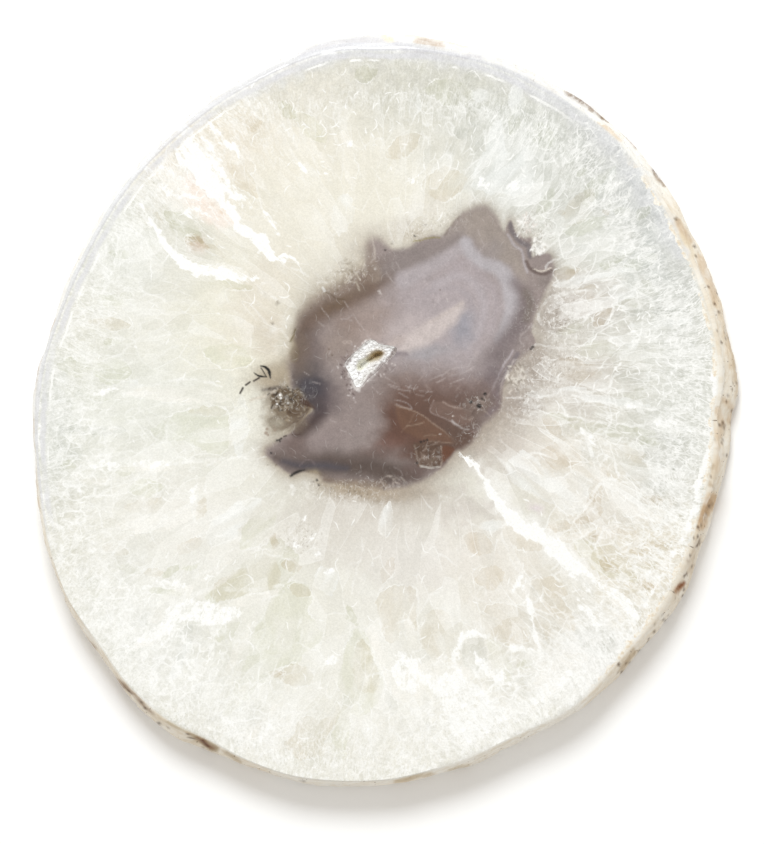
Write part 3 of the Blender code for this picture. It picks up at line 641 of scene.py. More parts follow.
def paint_crystals(canvas):
    """The clear crystals and small growths that lie in the agate and at its border."""
    canvas.draw("""
    fill 264,392 280,388 294,390 303,399 312,408 300,423 286,434 270,430 262,412 / 168,158,142 .8 5 4;
    fill 270,390 294,389 303,399 311,408.5 299,422 284,424 271,408 / 128,114,98 .9 2.2 2;
    fill 290,402 303,399 311,408 300,421 286,414 / 104,88,74 .9 1.5 1;
    fill 300,396 309,401 315,409 307,407 300,402 / 72,52,44 .8 1.5 1;
    fill 272,416 292,416 300,422 286,432 272,428 / 130,117,102 .8 2 2;
    fill 270,389 284,388 296,391 298,400 284,408 272,404 / 98,84,70 .75 1.6 1;
    stroke 263,390 272,388 280,387 / 2,4,3 86,80,80 .6 2;
    stroke 251,400 262,397 272,392 277,389 / 2.4 214,204,190 .75 1.5;
    stroke 311,409 306,416 300,421 294,426 / 1.1 168,154,136 .75 .8 .5;
    stroke 295,424 288,430 280,434 / 2 196,188,172 .75 1.2 1;
    scatter 268,389 296,389 302,402 288,412 272,410 / 90 1,4 21 .75 52,44,40 196,188,176 78,66,56 150,138,120;
    scatter 284,404 306,402 310,410 298,422 284,426 272,424 / 40 1,3 44 .6 150,134,114 92,76,62 176,164,146;
    dots 280,395,1.1 281,398,.8 288,403,.8 277,404,.7 / white;
    dots 267,429,1.2 274,426,1 275,430,1.3 266,433,1.6 268,435,1 279,440,.9 / 150,130,116 .7;
    stroke 276,441 279,440 282,439 / 1.6 46,34,30 .9 .6; stroke 284,437 287,436 / 1.2 60,44,38 .9 .6;
    stroke 292,435 300,434 / .8 84,66,60 .7 .6; glow 278 424 8 6 0 176,170,156 .6;
    glow 297 404 12 9 20 92,80,69 .55; glow 297 425 11 8 -40 108,94,84 .65;
    # The triangle, the slanting square and the clear patch;
    fill 396,406 416,413 440,428 457,442 440,441 425,440 404,430 / 117,91,77 .75 1.8;
    stroke 395,405 402,408 418,413 440,428 449,436 457,443 / 1 164,144,130 .7 .7;
    stroke 416,412 410,422 402,432 / 1 140,116,102 .5 .7;
    stroke 407,426 415,425 424,423 / 1.1 158,136,120 .7 .7;
    stroke 428,441 440,442 454,443 / 1 152,132,118 .6 .7;
    stroke 424,436 430,435 436,436 / .9 152,132,116 .5 .7;
    fill 434,401 446,402 462,409 474,418 462,427 446,418 430,412 / 128,108,100 .7;
    stroke 434,400 430,409 433,414 446,419 460,427 470,432 476,432 / .9 170,154,150 .6 .7;
    stroke 443,402 450,406 462,409 / 1.3 164,146,138 .7 .8;
    stroke 452,421 462,429 468,430 / 1.5 196,190,188 .7 .8;
    fill 464,402 474,398 486,398 489,406 484,414 474,420 464,414 / 128,113,106 .6 3 3;
    scatter 464,400 488,396 490,410 472,420 / 22 2,6 27 .6 168,154,146 88,74,70;
    fill 452,426 466,432 473,436 470,443 460,448 452,442 446,432 / 104,86,78 .8 3 3;
    fill 413,443 440,443 442,457 440,468 419,467 416,456 / 100,82,72 .9 1.2;
    glow 428 460 12 6 0 124,108,99 .7; stroke 420,466 430,468 440,467 / 1.6 206,200,194 .85 .8;
    stroke 441,446 442,457 441,467 / 1.3 170,156,146 .8 .8;
    stroke 414,445 417,456 420,466 / 1.2 150,134,124 .7 .8;
    scatter 418,444 440,444 440,466 420,464 / 26 2,7 22 .6 150,134,124 88,72,64;
    fill 443,446 455,448 448,459 442,462 / 110,78,64 .85 1.5;
    # Clear knots at the border;
    scatter 509,364 518,362 526,372 524,386 512,390 505,386 / 60 2,7 23 .8 232,226,216 150,140,130
    214,206,196; scatter 514,222 528,214 537,222 536,234 522,236 / 40 2,6 24 .8 white 236,224,216 196,188,180;
    scatter 532,240 546,240 544,254 533,254 / 40 2,6 25 .8 white 170,165,158 white;
    scatter 376,478 392,474 404,478 404,486 384,487 / 26 3,7 26 .8 172,160,152 112,102,98;
    stroke 378,484 382,479 390,476 398,479 404,486 / .9 166,154,148 .5 .7;
    stroke 394,467 400,470 402,475 400,479 / .9 160,150,148 .45 .7;
    stroke 299,466 304,461 311,460 315,465 / .9 142,128,130 .45 .7;
    stroke 291,476 297,472 304,470 / 2.2,2.6,1.2 40,32,28 .95 .8;
    dots 521,376,1.2 453,416,.5 474,424,.5 440,434,.5 / 226,218,212 .8;
    """)


def paint_core_lines(canvas):
    """Fine scratches, chips and specks on the agate."""
    scratches = rows("""
    390,386 400,390 410,391; 396,404 405,408 412,409; 372,387 380,394; 388,384 400,388; 420,391 432,392;
    437,383 445,378; 442,376 452,369 470,366; 406,386 414,389 418,387; 450,384 464,378; 430,380 444,374;
    395,400 406,403 412,408; 384,376 396,384; 456,357 462,352; 399,393 408,398; 460,374 476,366;
    470,362 478,352; 436,300 434,308; 444,292 448,302; 424,281 428,285; 405,276 410,272; 386,272 391,280;
    396,262 399,268; 341,319 348,318 353,315 358,322 366,332; 343,300 350,309; 320,306 328,316;
    318,322 324,326; 478,230 484,246; 481,250 486,244; 456,230 460,232; 380,290 382,296; 474,300 478,310;
    340,430 346,432; 330,420 336,422; 312,382 320,384; 304,372 309,375;
    """)
    for line in scratches:
        canvas.stroke(line, 0.8, (200, 190, 188), 0.42, soft=0.8, rough=0.5)
    canvas.draw("""
    scatter 388,384 480,352 486,384 440,398 400,408 / 40 3,9 31 .28 184,170,166 172,156,150;
    scatter 300,330 400,285 470,250 505,290 470,380 330,460 / 70 1,5 32 .35 196,188,188 140,130,128;
    """)
    for x, y in ((345, 342), (349, 342)):
        ring = [(x - 2, y), (x, y - 2), (x + 2, y), (x, y + 2), (x - 2, y)]
        canvas.stroke(ring, 0.8, (196, 182, 174), 0.6, soft=0.7)
    canvas.draw("""
    stroke 362,247 364,260 366,272 / 2 196,188,176 .4 1.4;
    stroke 372,238 374,248 375,258 / 1.6 206,196,186 .6 .8;
    dots 375,269,1 380,293,.8 379,291,.8 / 216,210,206 .7;
    stroke 413,241 416,240 422,240 426,238 440,238 / 1.4 150,140,96 .8 .8;
    stroke 445,234 452,224 460,216 / 1.2 136,124,116 .8 .9;
    stroke 296,329 294,335 291,341 / 1.6 104,92,58 .8 .8;
    fill 294,336 298,350 297,360 290,360 290,348 / 134,120,92 .35 2.5;
    stroke 322,289 330,294 336,298 344,300 / 1.3 92,76,56 .6 1;
    scatter 334,262 366,264 366,284 344,288 / 40 3,9 33 .5 226,218,204 146,134,118;
    stroke 260.5,366 265,367 269,370 / 1.2,2.6,2.2 ink 1 .6 .2;
    stroke 266,368 269,371 270.5,378 / 2.2,3.2,1.2 ink 1 .6 .2; stroke 261,368 266,376 / 1.2 ink .95 .6 .2;
    stroke 254,373 259,376 267,377 / 1,2.2,1 ink 1 .6 .2;
    """)
    for line in ([(259, 378), (254, 381)], [(250, 382), (246, 385)], [(243, 388), (240, 393)]):
        canvas.stroke(line, 1.9, (58, 46, 38), 0.95, soft=0.7, rough=0.3)
    canvas.draw("""
    dots 533,347,1.3 531,349,.9 485,394,1.5 482,399,1 484,400,.7 471,402,1.6 479,406,2.2 385,250,.9
    415,236,.9 421,442,1.1 424,441,.8 427,440,.9 417,463,1 271,453,.9 317,480,1 319,485,1.1 280,441,.8
    277,440,.6 / ink .9;
    dots 433,460,1.2 430,459,.9 276,465,.8 313,482,.8 331,489,.7 349,488,.8 349,492,.7 355,492,.8 360,492,.8
    361,496,.7 368,494,.8 359,485,.7 344,484,.7 273,324,1 311,308,.9 332,240,.9 392,243,.9 430,208,.9
    425,225,.8 278,302,.9 264,294,.8 329,349,.9 332,355,.7 337,290,1 560,336,1.2 268,465,.7 236,340,.8
    440,290,.6 / 112,98,84 .75;
    """)


def paint_hollow_border(canvas):
    """The white and speckled border of the crystal-lined hollow."""
    canvas.draw("""
    fill 352,354 362,344 370,340 377,342 384,346 395,346 396,352 387,360 379,369 371,378 363,388 358,392
    353,384 349,374 348,363 / 238,233,230 .6 1.6 2.5;
    scatter 337,370 341,358 350,348 364,340 360,352 350,364 352,380 357,404 351,402 346,384 / 190 .5,2.5 41
    .7 222,214,212 96,80,80 186,176,174 128,112,112;
    scatter 345,362 352,348 366,340 384,344 398,344 398,354 380,372 362,392 352,388 / 110 .5,2.2 47 .7 white
    150,136,136 236,230,228 186,174,172;
    scatter 372,386 380,374 394,358 398,362 384,376 / 40 .5,2.5 42 .6 226,218,214 128,114,112;
    scatter 366,340 374,343 372,349 366,348 / 12 1,3 43 .8 120,96,92 white;
    """)


# White fractures, in pixels
UPPER_FRACTURE = rows("""
188,134 184,150 187,165 196,179 208,194 224,209 232,223 239,236 250,244 261,254 270,261 281,261 290,260
298,266 305,274 299,263 290,256 278,256 270,248 262,238 250,229 238,216 223,190 212,165 197,142
""")[0]
LOWER_VEIN = rows("""
460,452 464,454 471,458 479,468 489,477 496,488 500,498 510,507 519,516 531,522 543,527 550,535 560,543
568,552 576,562 584,572 580,576 571,573 562,565 553,557 541,547 530,539 516,531 504,523 497,512 491,500
485,488 478,477 472,467 465,458
""")[0]


def paint_fractures(canvas):
    """The white healed fractures and the milky lines beside them."""
    canvas.draw("""
    fill 186,176 200,180 214,198 233,220 216,227 190,206 180,190 / 251,236,225 .8 4 3;
    fill 166,206 190,216 212,232 216,256 206,262 184,258 168,240 158,220 / 226,224,212 .8 3 3;
    glow 197 244 9 9 0 232,218,208 .7;
    """)
    canvas.white(UPPER_FRACTURE, 1, rough=4)
    canvas.draw("""
    stroke 476,468 496,490 516,518 544,538 566,556 586,578 / 8,20,26,30,24 250,249,246 .7 8 7;
    """)
    canvas.white(LOWER_VEIN, 1, rough=4)
    veins = rows("""
    205,150 215,165 227,179 236,190 248,201 256,208 / 2,5,3,2 .95; 178,210 190,217 205,222 / 2,4,2 .95;
    197,262 203,250 208,240 / 1 .9; 207,235 222,247 240,262 / 1 .9;
    140,205 150,220 159,236 168,248 177,256 188,264 203,273 220,277 240,279 256,278 / 3,6,9,12,9,6,5 .95;
    172,250 184,262 198,272 / 4,12,4 1.1; 266,213 272,222 277,233 / 2,6,3 .95;
    262,236 270,250 277,258 / 4,8,4 1; 197,266 225,272 250,277 / 2,12,4 .85;
    578,566 592,578 604,588 616,596 628,604 636,612 / 8,7,4,5,6 .8;
    572,574 588,590 602,604 614,612 / 5,6,4,3 .8; 584,600 592,616 596,630 606,640 / 4,5,3,2 .75;
    612,590 626,598 636,606 640,618 / 4 .8; 598,622 612,618 626,622 / 3 .75;
    524,585 527,598 532,614 535,632 539,652 / 2,5,4,2 .95; 186,140 196,165 212,190 / 18,14,4 .72;
    """)
    for line, (width, strength) in veins:
        canvas.vein(line, width, strength, rough=3)
    canvas.draw("""
    stroke 194,178 200,184 205,190 209,198 / 1.2 196,158,132 .75; glow 211 202 4 3 20 222,190,160 .7;
    glow 222 212 5 4 40 228,200,172 .6; glow 536 507 8 4 30 238,224,232 .7;
    """)


# Where the seams begin that show most plainly, and the lines where quartz crystals meet, in pixels, with
# their width and strength
PLAIN_SEAMS = 576
SEAMS = rows("""
565,291 556,295 548,299 542,307 537,316 540,322 548,329 551,332 / 1.4 .9; 550,331 545,325 538,317 / 1.2 .7;
548,327 562,326 572,322 584,316 / 1.3 .7; 583,322 592,312 600,309 610,306 614,302 / 1.6 .9;
614,303 622,299 632,294 637,287 640,278 / 1.6 .9; 614,303 632,308 650,306 668,305 684,300 / 1.6 .7;
614,303 612,314 606,322 598,330 / 1.2 .6; 637,290 648,297 655,302 668,292 / 1.3 .7;
535,345 550,347 566,348 580,347 598,341 620,338 632,338 / 1.5 .85; 620,344 626,340 634,334 640,330 / 2.6 .8;
560,349 576,356 592,366 606,367 / 1.3 .7; 606,367 622,365 636,363 646,366 / 1.8 .8;
622,362 623,372 612,377 610,386 600,390 / 1.6 .9; 600,390 588,392 576,391 560,389 / 1.2 .7;
505,399 520,398 534,402 540,412 / 1.4 .7; 534,400 546,396 560,392 / 1.6 .8;
560,392 574,396 590,399 604,402 618,403 / 1.6 .85; 527,416 534,412 / 1.8 .8;
540,411 548,414 556,416 574,417 592,421 612,423 632,425 / 1.8 .9;
618,403 634,406 652,409 668,408 684,412 692,418 / 1.6 .8; 632,426 648,424 660,423 672,424 / 2.4 .85;
643,424 656,420 668,414 / 2 .6; 504,417 520,419 530,424 / 1 .5; 562,424 564,432 570,439 580,441 / 1.5 .75;
582,430 588,442 592,455 597,470 599,480 / 4,4,2 .85; 584,430 592,436 604,444 616,449 / 2.2 .75;
600,480 612,479 624,482 640,484 / 1.2 .6; 600,484 594,494 592,500 584,508 578,515 / 2.2 .7;
615,462 616,468 619,476 / 1.9 .95; 666,392 671,396 673,402 / 1.4 .9; 645,446 650,444 652,441 / 1.6 .85;
668,376 680,384 690,378 / 1.3 .7; 640,494 638,503 641,508 / 1.5 .8; 560,450 566,455 570,452 / 1.3 .6;
540,255 550,247 560,239 580,237 600,236 622,237 640,235 / 1.3 .6;
556,299 570,292 588,290 606,291 618,286 630,284 / 2.2 .8; 593,276 600,270 608,262 612,250 608,240 / 1.3 .6;
608,250 622,258 636,256 644,248 656,246 / 1.4 .7; 604,206 610,209 620,204 628,196 632,190 / 1.4 .75;
604,206 606,192 612,180 / 1.2 .5; 572,224 582,214 592,206 598,196 / 1.3 .5; 634,258 646,256 650,254 / 1.6 .7;
556,190 566,182 574,170 580,158 590,156 596,150 / 1.3 .55; 584,155 596,157 600,152 596,148 / 1.6 .7;
552,210 554,196 560,178 566,160 574,146 / 1.3 .5; 518,238 538,214 554,194 564,180 / 1.2 .4;
556,132 562,132 / 1.8 .8; 472,110 486,110 492,104 496,96 / 1.5 .6; 474,108 482,116 / 1.2 .6;
436,110 446,110 / 2.2 .8; 408,126 424,120 440,117 450,118 / 1.4 .6; 452,124 452,132 456,138 / 1.2 .5;
387,54 391,60 392,67 394,73 / 1.4,2.4,1.4 .95; 398,72 404,74 410,70 / 1.5 .7;
276,82 284,88 290,95 294,100 / 1.6 .9; 281,112 284,124 290,136 / 1.6 .8;
232,112 234,120 233,130 238,142 / 2.4 .7; 330,88 332,87 336,88 / 1.6 .9; 396,108 404,108 / 1.6 .8;
440,108 447,108 / 1.6 .8; 322,104 326,118 334,130 336,142 / 1.6 .6; 350,94 356,106 362,112 / 1.4 .6;
290,150 297,160 305,168 318,176 330,180 / 1.4 .5; 376,94 378,98 / 1.4 .7; 290,268 300,271 308,276 / 1.3 .8;
262,284 269,283 275,287 / 1.4 .9; 272,296 277,299 / 1.4 .9; 260,290 262,293 / 1.3 .7;
284,271 289,276 / 1.3 .7; 322,288 325,291 / 1.6 .9; 279,327 284,333 288,339 / 1.2 .6;
105,388 130,385 156,384 180,379 200,381 222,386 / 3,4,2,2 .85; 120,386 124,376 130,370 / 1.6 .6;
80,470 100,466 124,462 150,466 176,463 204,460 228,458 250,456 / 1.5,4,5,4,3,2 .85;
208,466 220,460 236,457 252,460 265,456 / 1.4 .7; 196,476 198,492 192,504 184,510 / 1.4 .45;
62,478 74,490 82,496 / 1.6 .7; 130,480 142,476 154,470 162,466 / 1.5 .6;
106,564 118,560 130,558 144,562 / 1.4 .7; 60,512 74,512 90,510 / 1.6 .6;
196,478 208,497 200,508 194,520 / 1.2 .4; 186,580 206,572 232,556 252,548 264,545 / 2.2 .7;
208,564 230,552 250,540 270,528 / 1.4 .55; 178,600 200,592 222,588 246,590 268,588 286,584 / 3,6,5,3 .7;
200,536 220,522 240,510 262,498 276,490 / 2,4,3,2 .5; 194,500 197,492 200,486 / 4,5,2 .7;
291,486 294,490 292,495 / 4,5,3 .95; 362,530 361,542 363,552 360,560 356,568 354,580 352,594 / 1.3 .65;
345,567 352,563 360,561 / 1.3 .6; 326,574 331,571 334,568 / 3,4,2 .8; 372,563 372,566 / 1.6 .7;
379,590 383,586 386,584 / 2.2 .85; 350,612 354,616 348,620 / 1.4 .6; 328,661 333,664 338,660 333,656 / 3.5 1;
297,628 300,622 302,616 / 1.8 .7; 276,680 280,684 282,680 / 2 .9; 270,684 274,692 / 1.6 .8;
340,680 328,676 322,684 316,690 / 1.4 .45; 358,628 364,638 372,648 378,662 382,676 386,690 / 1.5,3,4,3 .7;
344,636 352,630 356,627 / 1.4 .5; 418,592 418,606 417,620 418,634 / 1.4 .55; 418,620 412,614 408,618 / 1.2 .5;
462,650 462,640 470,634 480,634 486,637 490,634 / 3,4,4,2 .85; 486,636 492,642 500,648 / 1.4 .6;
486,598 484,586 476,594 / 1.2 .4; 455,576 458,556 456,540 / 1.2 .4; 470,592 480,600 494,602 500,598 / 1.6 .5;
440,495 455,500 463,511 470,522 480,528 492,528 500,524 / 1.4 .6;
498,528 504,542 510,556 516,568 524,578 536,592 550,612 / 1.6 .65;
524,585 529,600 533,618 537,640 541,660 / 1.6 .6; 505,654 520,648 535,654 548,650 / 3,5,4 .6;
548,534 554,525 564,520 574,520 580,524 / 1.4 .6; 588,532 600,526 612,524 626,530 636,532 / 1.4 .6;
560,545 574,540 588,534 / 1.5 .6; 626,552 634,546 650,548 656,542 / 1.4 .5;
602,528 610,540 618,548 630,556 / 1.3 .5; 630,555 642,560 656,558 662,552 / 1.4 .5;
640,590 646,596 652,602 / 1.6 .6; 622,562 636,566 650,572 662,580 / 1.4 .5; 538,214 545,214 550,208 / 2 .6;
560,258 550,262 546,268 / 1.2 .6; 541,246 552,244 558,238 / 1.5 .7;
""")

# Marks on the rough side, in pixels: lines with their width, colour and strength
RIND = (248, 241, 228)


def paint_border(canvas):
    """The white skin, the ground edge and the rind round the face, with a painted reflection and a painted
    highlight along the top.
    """
    chalk = rows("""
    655,170 668,190 680,214 692,240 701,262 707,284 / 2,3,3 .6;
    707,284 713,305 717,330 718,356 716,380 715,405 713,425 / 3,4,5,7,6 .78;
    713,425 710,446 706,460 700,480 696,500 690,520 684,540 / 6,7,8,6,4 .74;
    684,540 672,556 662,576 648,600 634,622 622,640 / 4,3,4,5 .5;
    560,92 580,104 604,122 626,142 640,156 / 4,5,4 .8; 640,156 650,172 660,186 / 4,3 .7;
    470,60 500,64 530,74 556,90 / 2,3,3 .6; 40,372 46,340 54,312 62,296 / 3,3 .7; 38,440 38,400 41,372 / 4 .7;
    90,232 110,204 134,176 158,152 / 4 .6;
    """)
    for line, (width, amount) in chalk:
        canvas.vein(line, width, 0.35 + 0.9 * amount, rough=3)
    # Painted reflection and painted highlight along the top and the upper right: a grey-blue veil, grey bands
    # on the ground edge, and white lines that are a painted highlight on its shoulder
    canvas.draw("""
    stroke 250,92 300,66 350,52 400,50 450,58 500,72 560,104 610,144 650,200 680,250 / 14 221,222,225 .8 9 5;
    stroke 196,118 240,92 272,76 300,60 / 12 236,234,231 .8 4 2;
    stroke 302,55 320,47 345,42 372,40 395,45 420,52 450,55 480,58 / 7,9,9,8,6,4 212,210,213 .9 2 1.5;
    stroke 297,61 310,56 330,50 350,47 372,45 388,46 402,50 / 2,4,4,3 254,254,254 .95 1 .6;
    stroke 205,108 222,100 236,94 250,90 / 3,3,2 253,252,250 .9 1;
    stroke 256,82 268,78 278,74 / 2 252,252,250 .8 1;
    """)


def rind_marks(canvas):
    """Brown and tan marks on the rough side."""
    marks = rows("""
    520,62 530,66 / 3 222,200,172 .6; 544,76 552,80 / 3 230,214,190 .6;
    568,93 584,103 600,113 608,118 / 6 150,124,96 1; 574,94 590,104 / 3 120,92,68 .8;
    586,100 596,106 / 3 150,122,104 .6; 600,124 612,132 620,138 / 8 232,212,184 .8;
    612,120 618,126 / 3 150,124,96 .9; 622,128 630,136 637,146 / 5 150,124,96 1;
    631,140 635,146 / 3 160,120,96 .7; 654,168 658,176 664,184 / 4 140,112,84 1;
    655,169 657,171 / 2.4 96,70,50 .8; 676,219 679,223 / 4 90,72,52 .9;
    678,222 684,232 690,242 / 7 222,200,172 .8; 682,236 690,248 694,256 / 6 246,232,204 .6;
    700,258 706,272 712,288 716,304 / 8 228,208,182 .8; 718,300 724,320 728,344 732,366 / 7 238,222,198 .7;
    728,330 734,356 738,384 738,400 / 4 214,196,170 .6; 724,400 732,408 730,420 / 6 228,208,182 .75;
    718,410 722,424 720,436 / 7 232,212,186 .75; 716,430 720,450 717,470 / 6 236,218,194 .65;
    712,466 706,480 712,486 / 5 204,184,156 .7; 712,500 704,512 700,524 / 14 224,200,170 .95;
    709,503 703,514 700,520 / 7 206,178,146 .9; 698,540 694,556 690,572 / 7 222,206,184 .6;
    678,590 682,586 / 7 188,146,110 .9; 679,588 683,585 / 4 150,96,62 .95; 684,556 688,562 / 3 160,130,100 .5;
    634,652 628,662 622,668 / 6 200,180,150 .7; 386,37 390,39 / 7 240,226,190 .9;
    418,41 430,43 440,45 / 8 206,184,158 .95; 404,36 424,36 446,40 466,45 / 3 236,216,188 .6;
    112,675 122,684 134,694 142,704 / 2,4,3,2 186,164,142 .85; 122,685 132,694 / 2 140,112,90 .8;
    138,700 146,708 152,714 / 3 170,146,122 .7; 126,672 142,684 158,700 / 3 232,212,188 .7;
    158,724 159,725 / 2.4 70,50,36 .9; 170,722 182,728 188,730 / 7 214,204,182 .8;
    192,734 204,742 216,750 / 6,9,6 186,168,140 .9; 198,738 206,744 212,748 / 3,5,3 150,116,90 .9;
    203,741 208,746 / 2 96,60,44 .9; 84,638 90,644 94,648 / 3 168,142,118 .8;
    226,752 232,756 240,762 / 4 196,180,154 .7; 302,781 304,781 / 2.2 90,66,44 .85;
    396,782 408,779 420,776 432,774 / 5 206,186,152 .7; 450,770 458,768 466,767 / 4 206,190,160 .6;
    33,420 33,450 35,480 39,508 / 2.4 214,190,160 .5; 36,390 38,372 42,356 / 2.4 176,150,126 .6;
    44,350 50,334 54,320 / 3.5 200,172,150 .5;
    """)
    for line, (width, colour, amount) in marks:
        canvas.stroke(line, width, colour, amount, soft=1.8, rough=1.5)
    rng = np.random.default_rng(51)
    for line, (count,) in rows("""
            735,380 722,440 708,520 / 30; 700,528 690,570 676,610 650,640 622,668 / 70;
            690,236 712,290 728,350 / 16; 120,690 170,724 214,748 / 14;
    """):
        curve = smooth_line(line)
        for _ in range(count):
            spot = curve[rng.integers(len(curve))] + rng.normal(0, 3.5, 2)
            canvas.dots([(*spot, rng.uniform(0.5, 1.1))], (104, 82, 64), 0.8)


# Places outside the agate that have fine marks, in pixels
FINEST_PLACES = rows("""
238,364 262,360 290,380 312,396 316,410 300,438 262,440 262,400 238,396;
336,370 344,350 362,336 400,340 400,356 366,396 358,408 344,400;
""")
FINE_PLACES = rows("""
236,364 262,356 296,352 306,400 292,440 262,440 234,404;
504,208 540,208 562,240 556,300 536,320 552,260 520,240; 500,400 508,364 532,352 534,380 516,404;
""")


# The slab's mesh: points round its edge and round the hollow, rows up its side in millimetres,
# and distances between the face's points in pixels
EDGE_POINTS = 720
HOLLOW_POINTS = 200
SIDE_HEIGHTS = [
    0.0, 0.1, 0.28, 0.52, 0.8, 1.08, 1.36, 1.64, 1.92, 2.2, 2.48, 2.76, 3.04, 3.32, 3.6, 3.88, 4.16, 4.44,
    4.72, 4.98, 5.22, 5.42, 5.6, 5.76, 5.9, 6.0,
]
HOLLOW_HEIGHTS = [6.0, 5.6, 5.0, 4.2, 3.2, 2.2, 1.15]
STEPS = [5.0, 3.5, 2.5, 1.8, 1.4, 0.95]
CORE_STEP, LINE_STEP = 1.4, 1.8
UNDER_STEPS = [9.0, 4.5]


def point_spacing(places):
    """How far apart the face's points are, in pixels: closer where there are fine marks."""
    depth, _ = depth_inside(places, CORE[:, :2], 60)
    deep = inside_outline(places, CORE[:, :2])
    spacing = np.where(deep | (depth > -5), CORE_STEP, np.where(depth > -24, LINE_STEP, 9.0))
    for outline in FINE_PLACES:
        spacing[inside_outline(places, outline)] = CORE_STEP
    for outline in FINEST_PLACES:
        spacing[inside_outline(places, outline)] = STEPS[-1]
    fine = [(line, 1.5) for line, *_ in SEAMS] + [(UPPER_FRACTURE, 6), (LOWER_VEIN, 6)]
    for line, reach in fine:
        picked, gap, _ = near_line(places, smooth_line(line), 24 + reach)
        spacing[picked] = np.minimum(spacing[picked], LINE_STEP + np.maximum(gap - reach, 0) * 0.3)
    return np.minimum(spacing, STEPS[0])


def under_spacing(places):
    """The same for the lower face."""
    return np.where(inside_outline(places, CORE[:, :2]), UNDER_STEPS[-1], UNDER_STEPS[0])


def ray_reach(tree, middle, angle, height, outward):
    """How far from the middle a level ray meets the solid, from outside or from inside it."""
    way = Vector((math.cos(angle), math.sin(angle), 0))
    centre = Vector((middle[0], middle[1], height))
    hit = tree.ray_cast(centre, way)[0] if outward else tree.ray_cast(centre + way * 0.2, -way)[0]
    return (hit - centre).length


def ring_of(tree, middle, count, height, outward, limits):
    """A level ring of points on the solid, with its flat facets smoothed away."""
    angles = np.arange(count) * math.tau / count
    probe = min(max(height, limits[0] + 0.02 * MM), limits[1] - 0.02 * MM)
    reach = np.array([ray_reach(tree, middle, a, probe, outward) for a in angles])
    reach = sum(w * np.roll(reach, k - 2) for k, w in enumerate((1 / 9, 2 / 9, 3 / 9, 2 / 9, 1 / 9)))
    return np.column_stack([middle[0] + np.cos(angles) * reach, middle[1] + np.sin(angles) * reach,
                            np.full(count, height)])


def roughen(rings):
    """Gives the side its lumps, ledges and pores, without moving it past the solid's box."""
    rings = np.stack(rings)
    height = rings[:, :, 2] / MM
    out = rings[:, :, :2] / np.linalg.norm(rings[:, :, :2], axis=2, keepdims=True)
    along = np.arange(EDGE_POINTS) / EDGE_POINTS * math.tau
    wide = np.stack([np.cos(along), np.sin(along)], axis=1)[None] * np.ones((len(rings), 1, 1))
    spots = np.dstack([wide * 52 * 0.45, height * 1.25]).reshape(-1, 3)
    lumps = layered_noise(spots, 2.6, 3, 61).reshape(height.shape)
    ledges = lattice_noise(spots * (0.5, 0.5, 1.6), 0.9, 65).reshape(height.shape)
    grain = lattice_noise(np.dstack([wide * 52, height]).reshape(-1, 3), 0.55, 66).reshape(height.shape)
    pores = np.clip(lattice_noise(np.dstack([wide * 52, height]).reshape(-1, 3), 0.8, 67) - 0.45, 0, 1)
    fade = rise(0, 0.5, height) * rise(5.5, 4.9, height)
    move = fade * (0.16 * lumps + 0.07 * ledges + 0.05 * grain - 0.5 * pores.reshape(height.shape) - 0.06)
    rings[:, :, :2] += out * np.minimum(move, 0.1)[:, :, None] * MM
    low, high = np.array(cad_box[0]), np.array(cad_box[1])
    rings = np.minimum(np.maximum(rings, low), high)
    return list(rings)


def spread_points(outer, inner, spacing_at, steps):
    """Points between two loops, in pixels, in hexagonal grids that are finer where asked."""
    rng = np.random.default_rng(5)
    found = []
    for step, finer in zip(steps, [*steps[1:], 0]):
        columns = np.arange(outer[:, 0].min(), outer[:, 0].max(), step)
        levels = np.arange(outer[:, 1].min(), outer[:, 1].max(), step * 0.866)
        across, down = np.meshgrid(columns, levels)
        across = across + (np.arange(len(levels)) % 2)[:, None] * step / 2
        grid = np.column_stack([across.ravel(), down.ravel()])
        grid = grid[inside_outline(grid, outer)]
        wanted = spacing_at(grid)
        grid = grid[(wanted <= step * 1.001) & (wanted > finer * 1.001)]
        grid += rng.uniform(-0.2, 0.2, grid.shape) * step
        room, _ = depth_inside(grid, outer, step * 2)
        keep = inside_outline(grid, outer) & ((room > step * 0.5) | (room < -900))
        if inner is not None:
            gap, _ = depth_inside(grid, inner, step * 2)
            keep &= (gap < -step * 0.4) & ~inside_outline(grid, inner)
        found.append(grid[keep])
    return np.vstack(found)


def triangles_between(loops, points):
    """The triangles of a flat face between its loops, through the points inside it."""
    corners = np.vstack([*loops, points])
    edges = []
    start = 0
    for loop in loops:
        edges += [(start + k, start + (k + 1) % len(loop)) for k in range(len(loop))]
        start += len(loop)
    result = delaunay_2d_cdt([Vector(c) for c in corners.tolist()], edges, [], 0, 1e-6)
    faces = np.array(result[2])
    centres = corners[faces].mean(axis=1)
    keep = inside_outline(centres, loops[0])
    for hole in loops[1:]:
        keep &= ~inside_outline(centres, hole)
    return faces[keep]


def ring_band(lower, upper, count):
    """Two triangles a step between two rings of points."""
    k = np.arange(count)
    n = (k + 1) % count
    return np.vstack([np.stack([lower + k, lower + n, upper + n], axis=1),
                      np.stack([lower + k, upper + n, upper + k], axis=1)])


def ring_fan(ring, middle, count):
    """Triangles from a ring of points to one point in its middle."""
    k = np.arange(count)
    return np.stack([ring + k, ring + (k + 1) % count, np.full(count, middle)], axis=1)


def level_points(places, height):
    """Points in metres at a height, for places in pixels."""
    return np.column_stack([*at(*places.T), np.broadcast_to(height, len(places))])


class Parts:
    """Points and triangles put together stretch by stretch, with the name of each stretch."""

    def __init__(self):
        self.points, self.faces, self.kinds = [], [], []
        self.count = 0

    def put(self, block):
        self.points.append(block)
        self.count += len(block)
        return self.count - len(block)

    def join(self, faces, kind):
        self.faces.append(faces)
        self.kinds += [kind] * len(faces)

    def done(self):
        return np.vstack(self.points), np.vstack(self.faces), np.array(self.kinds)


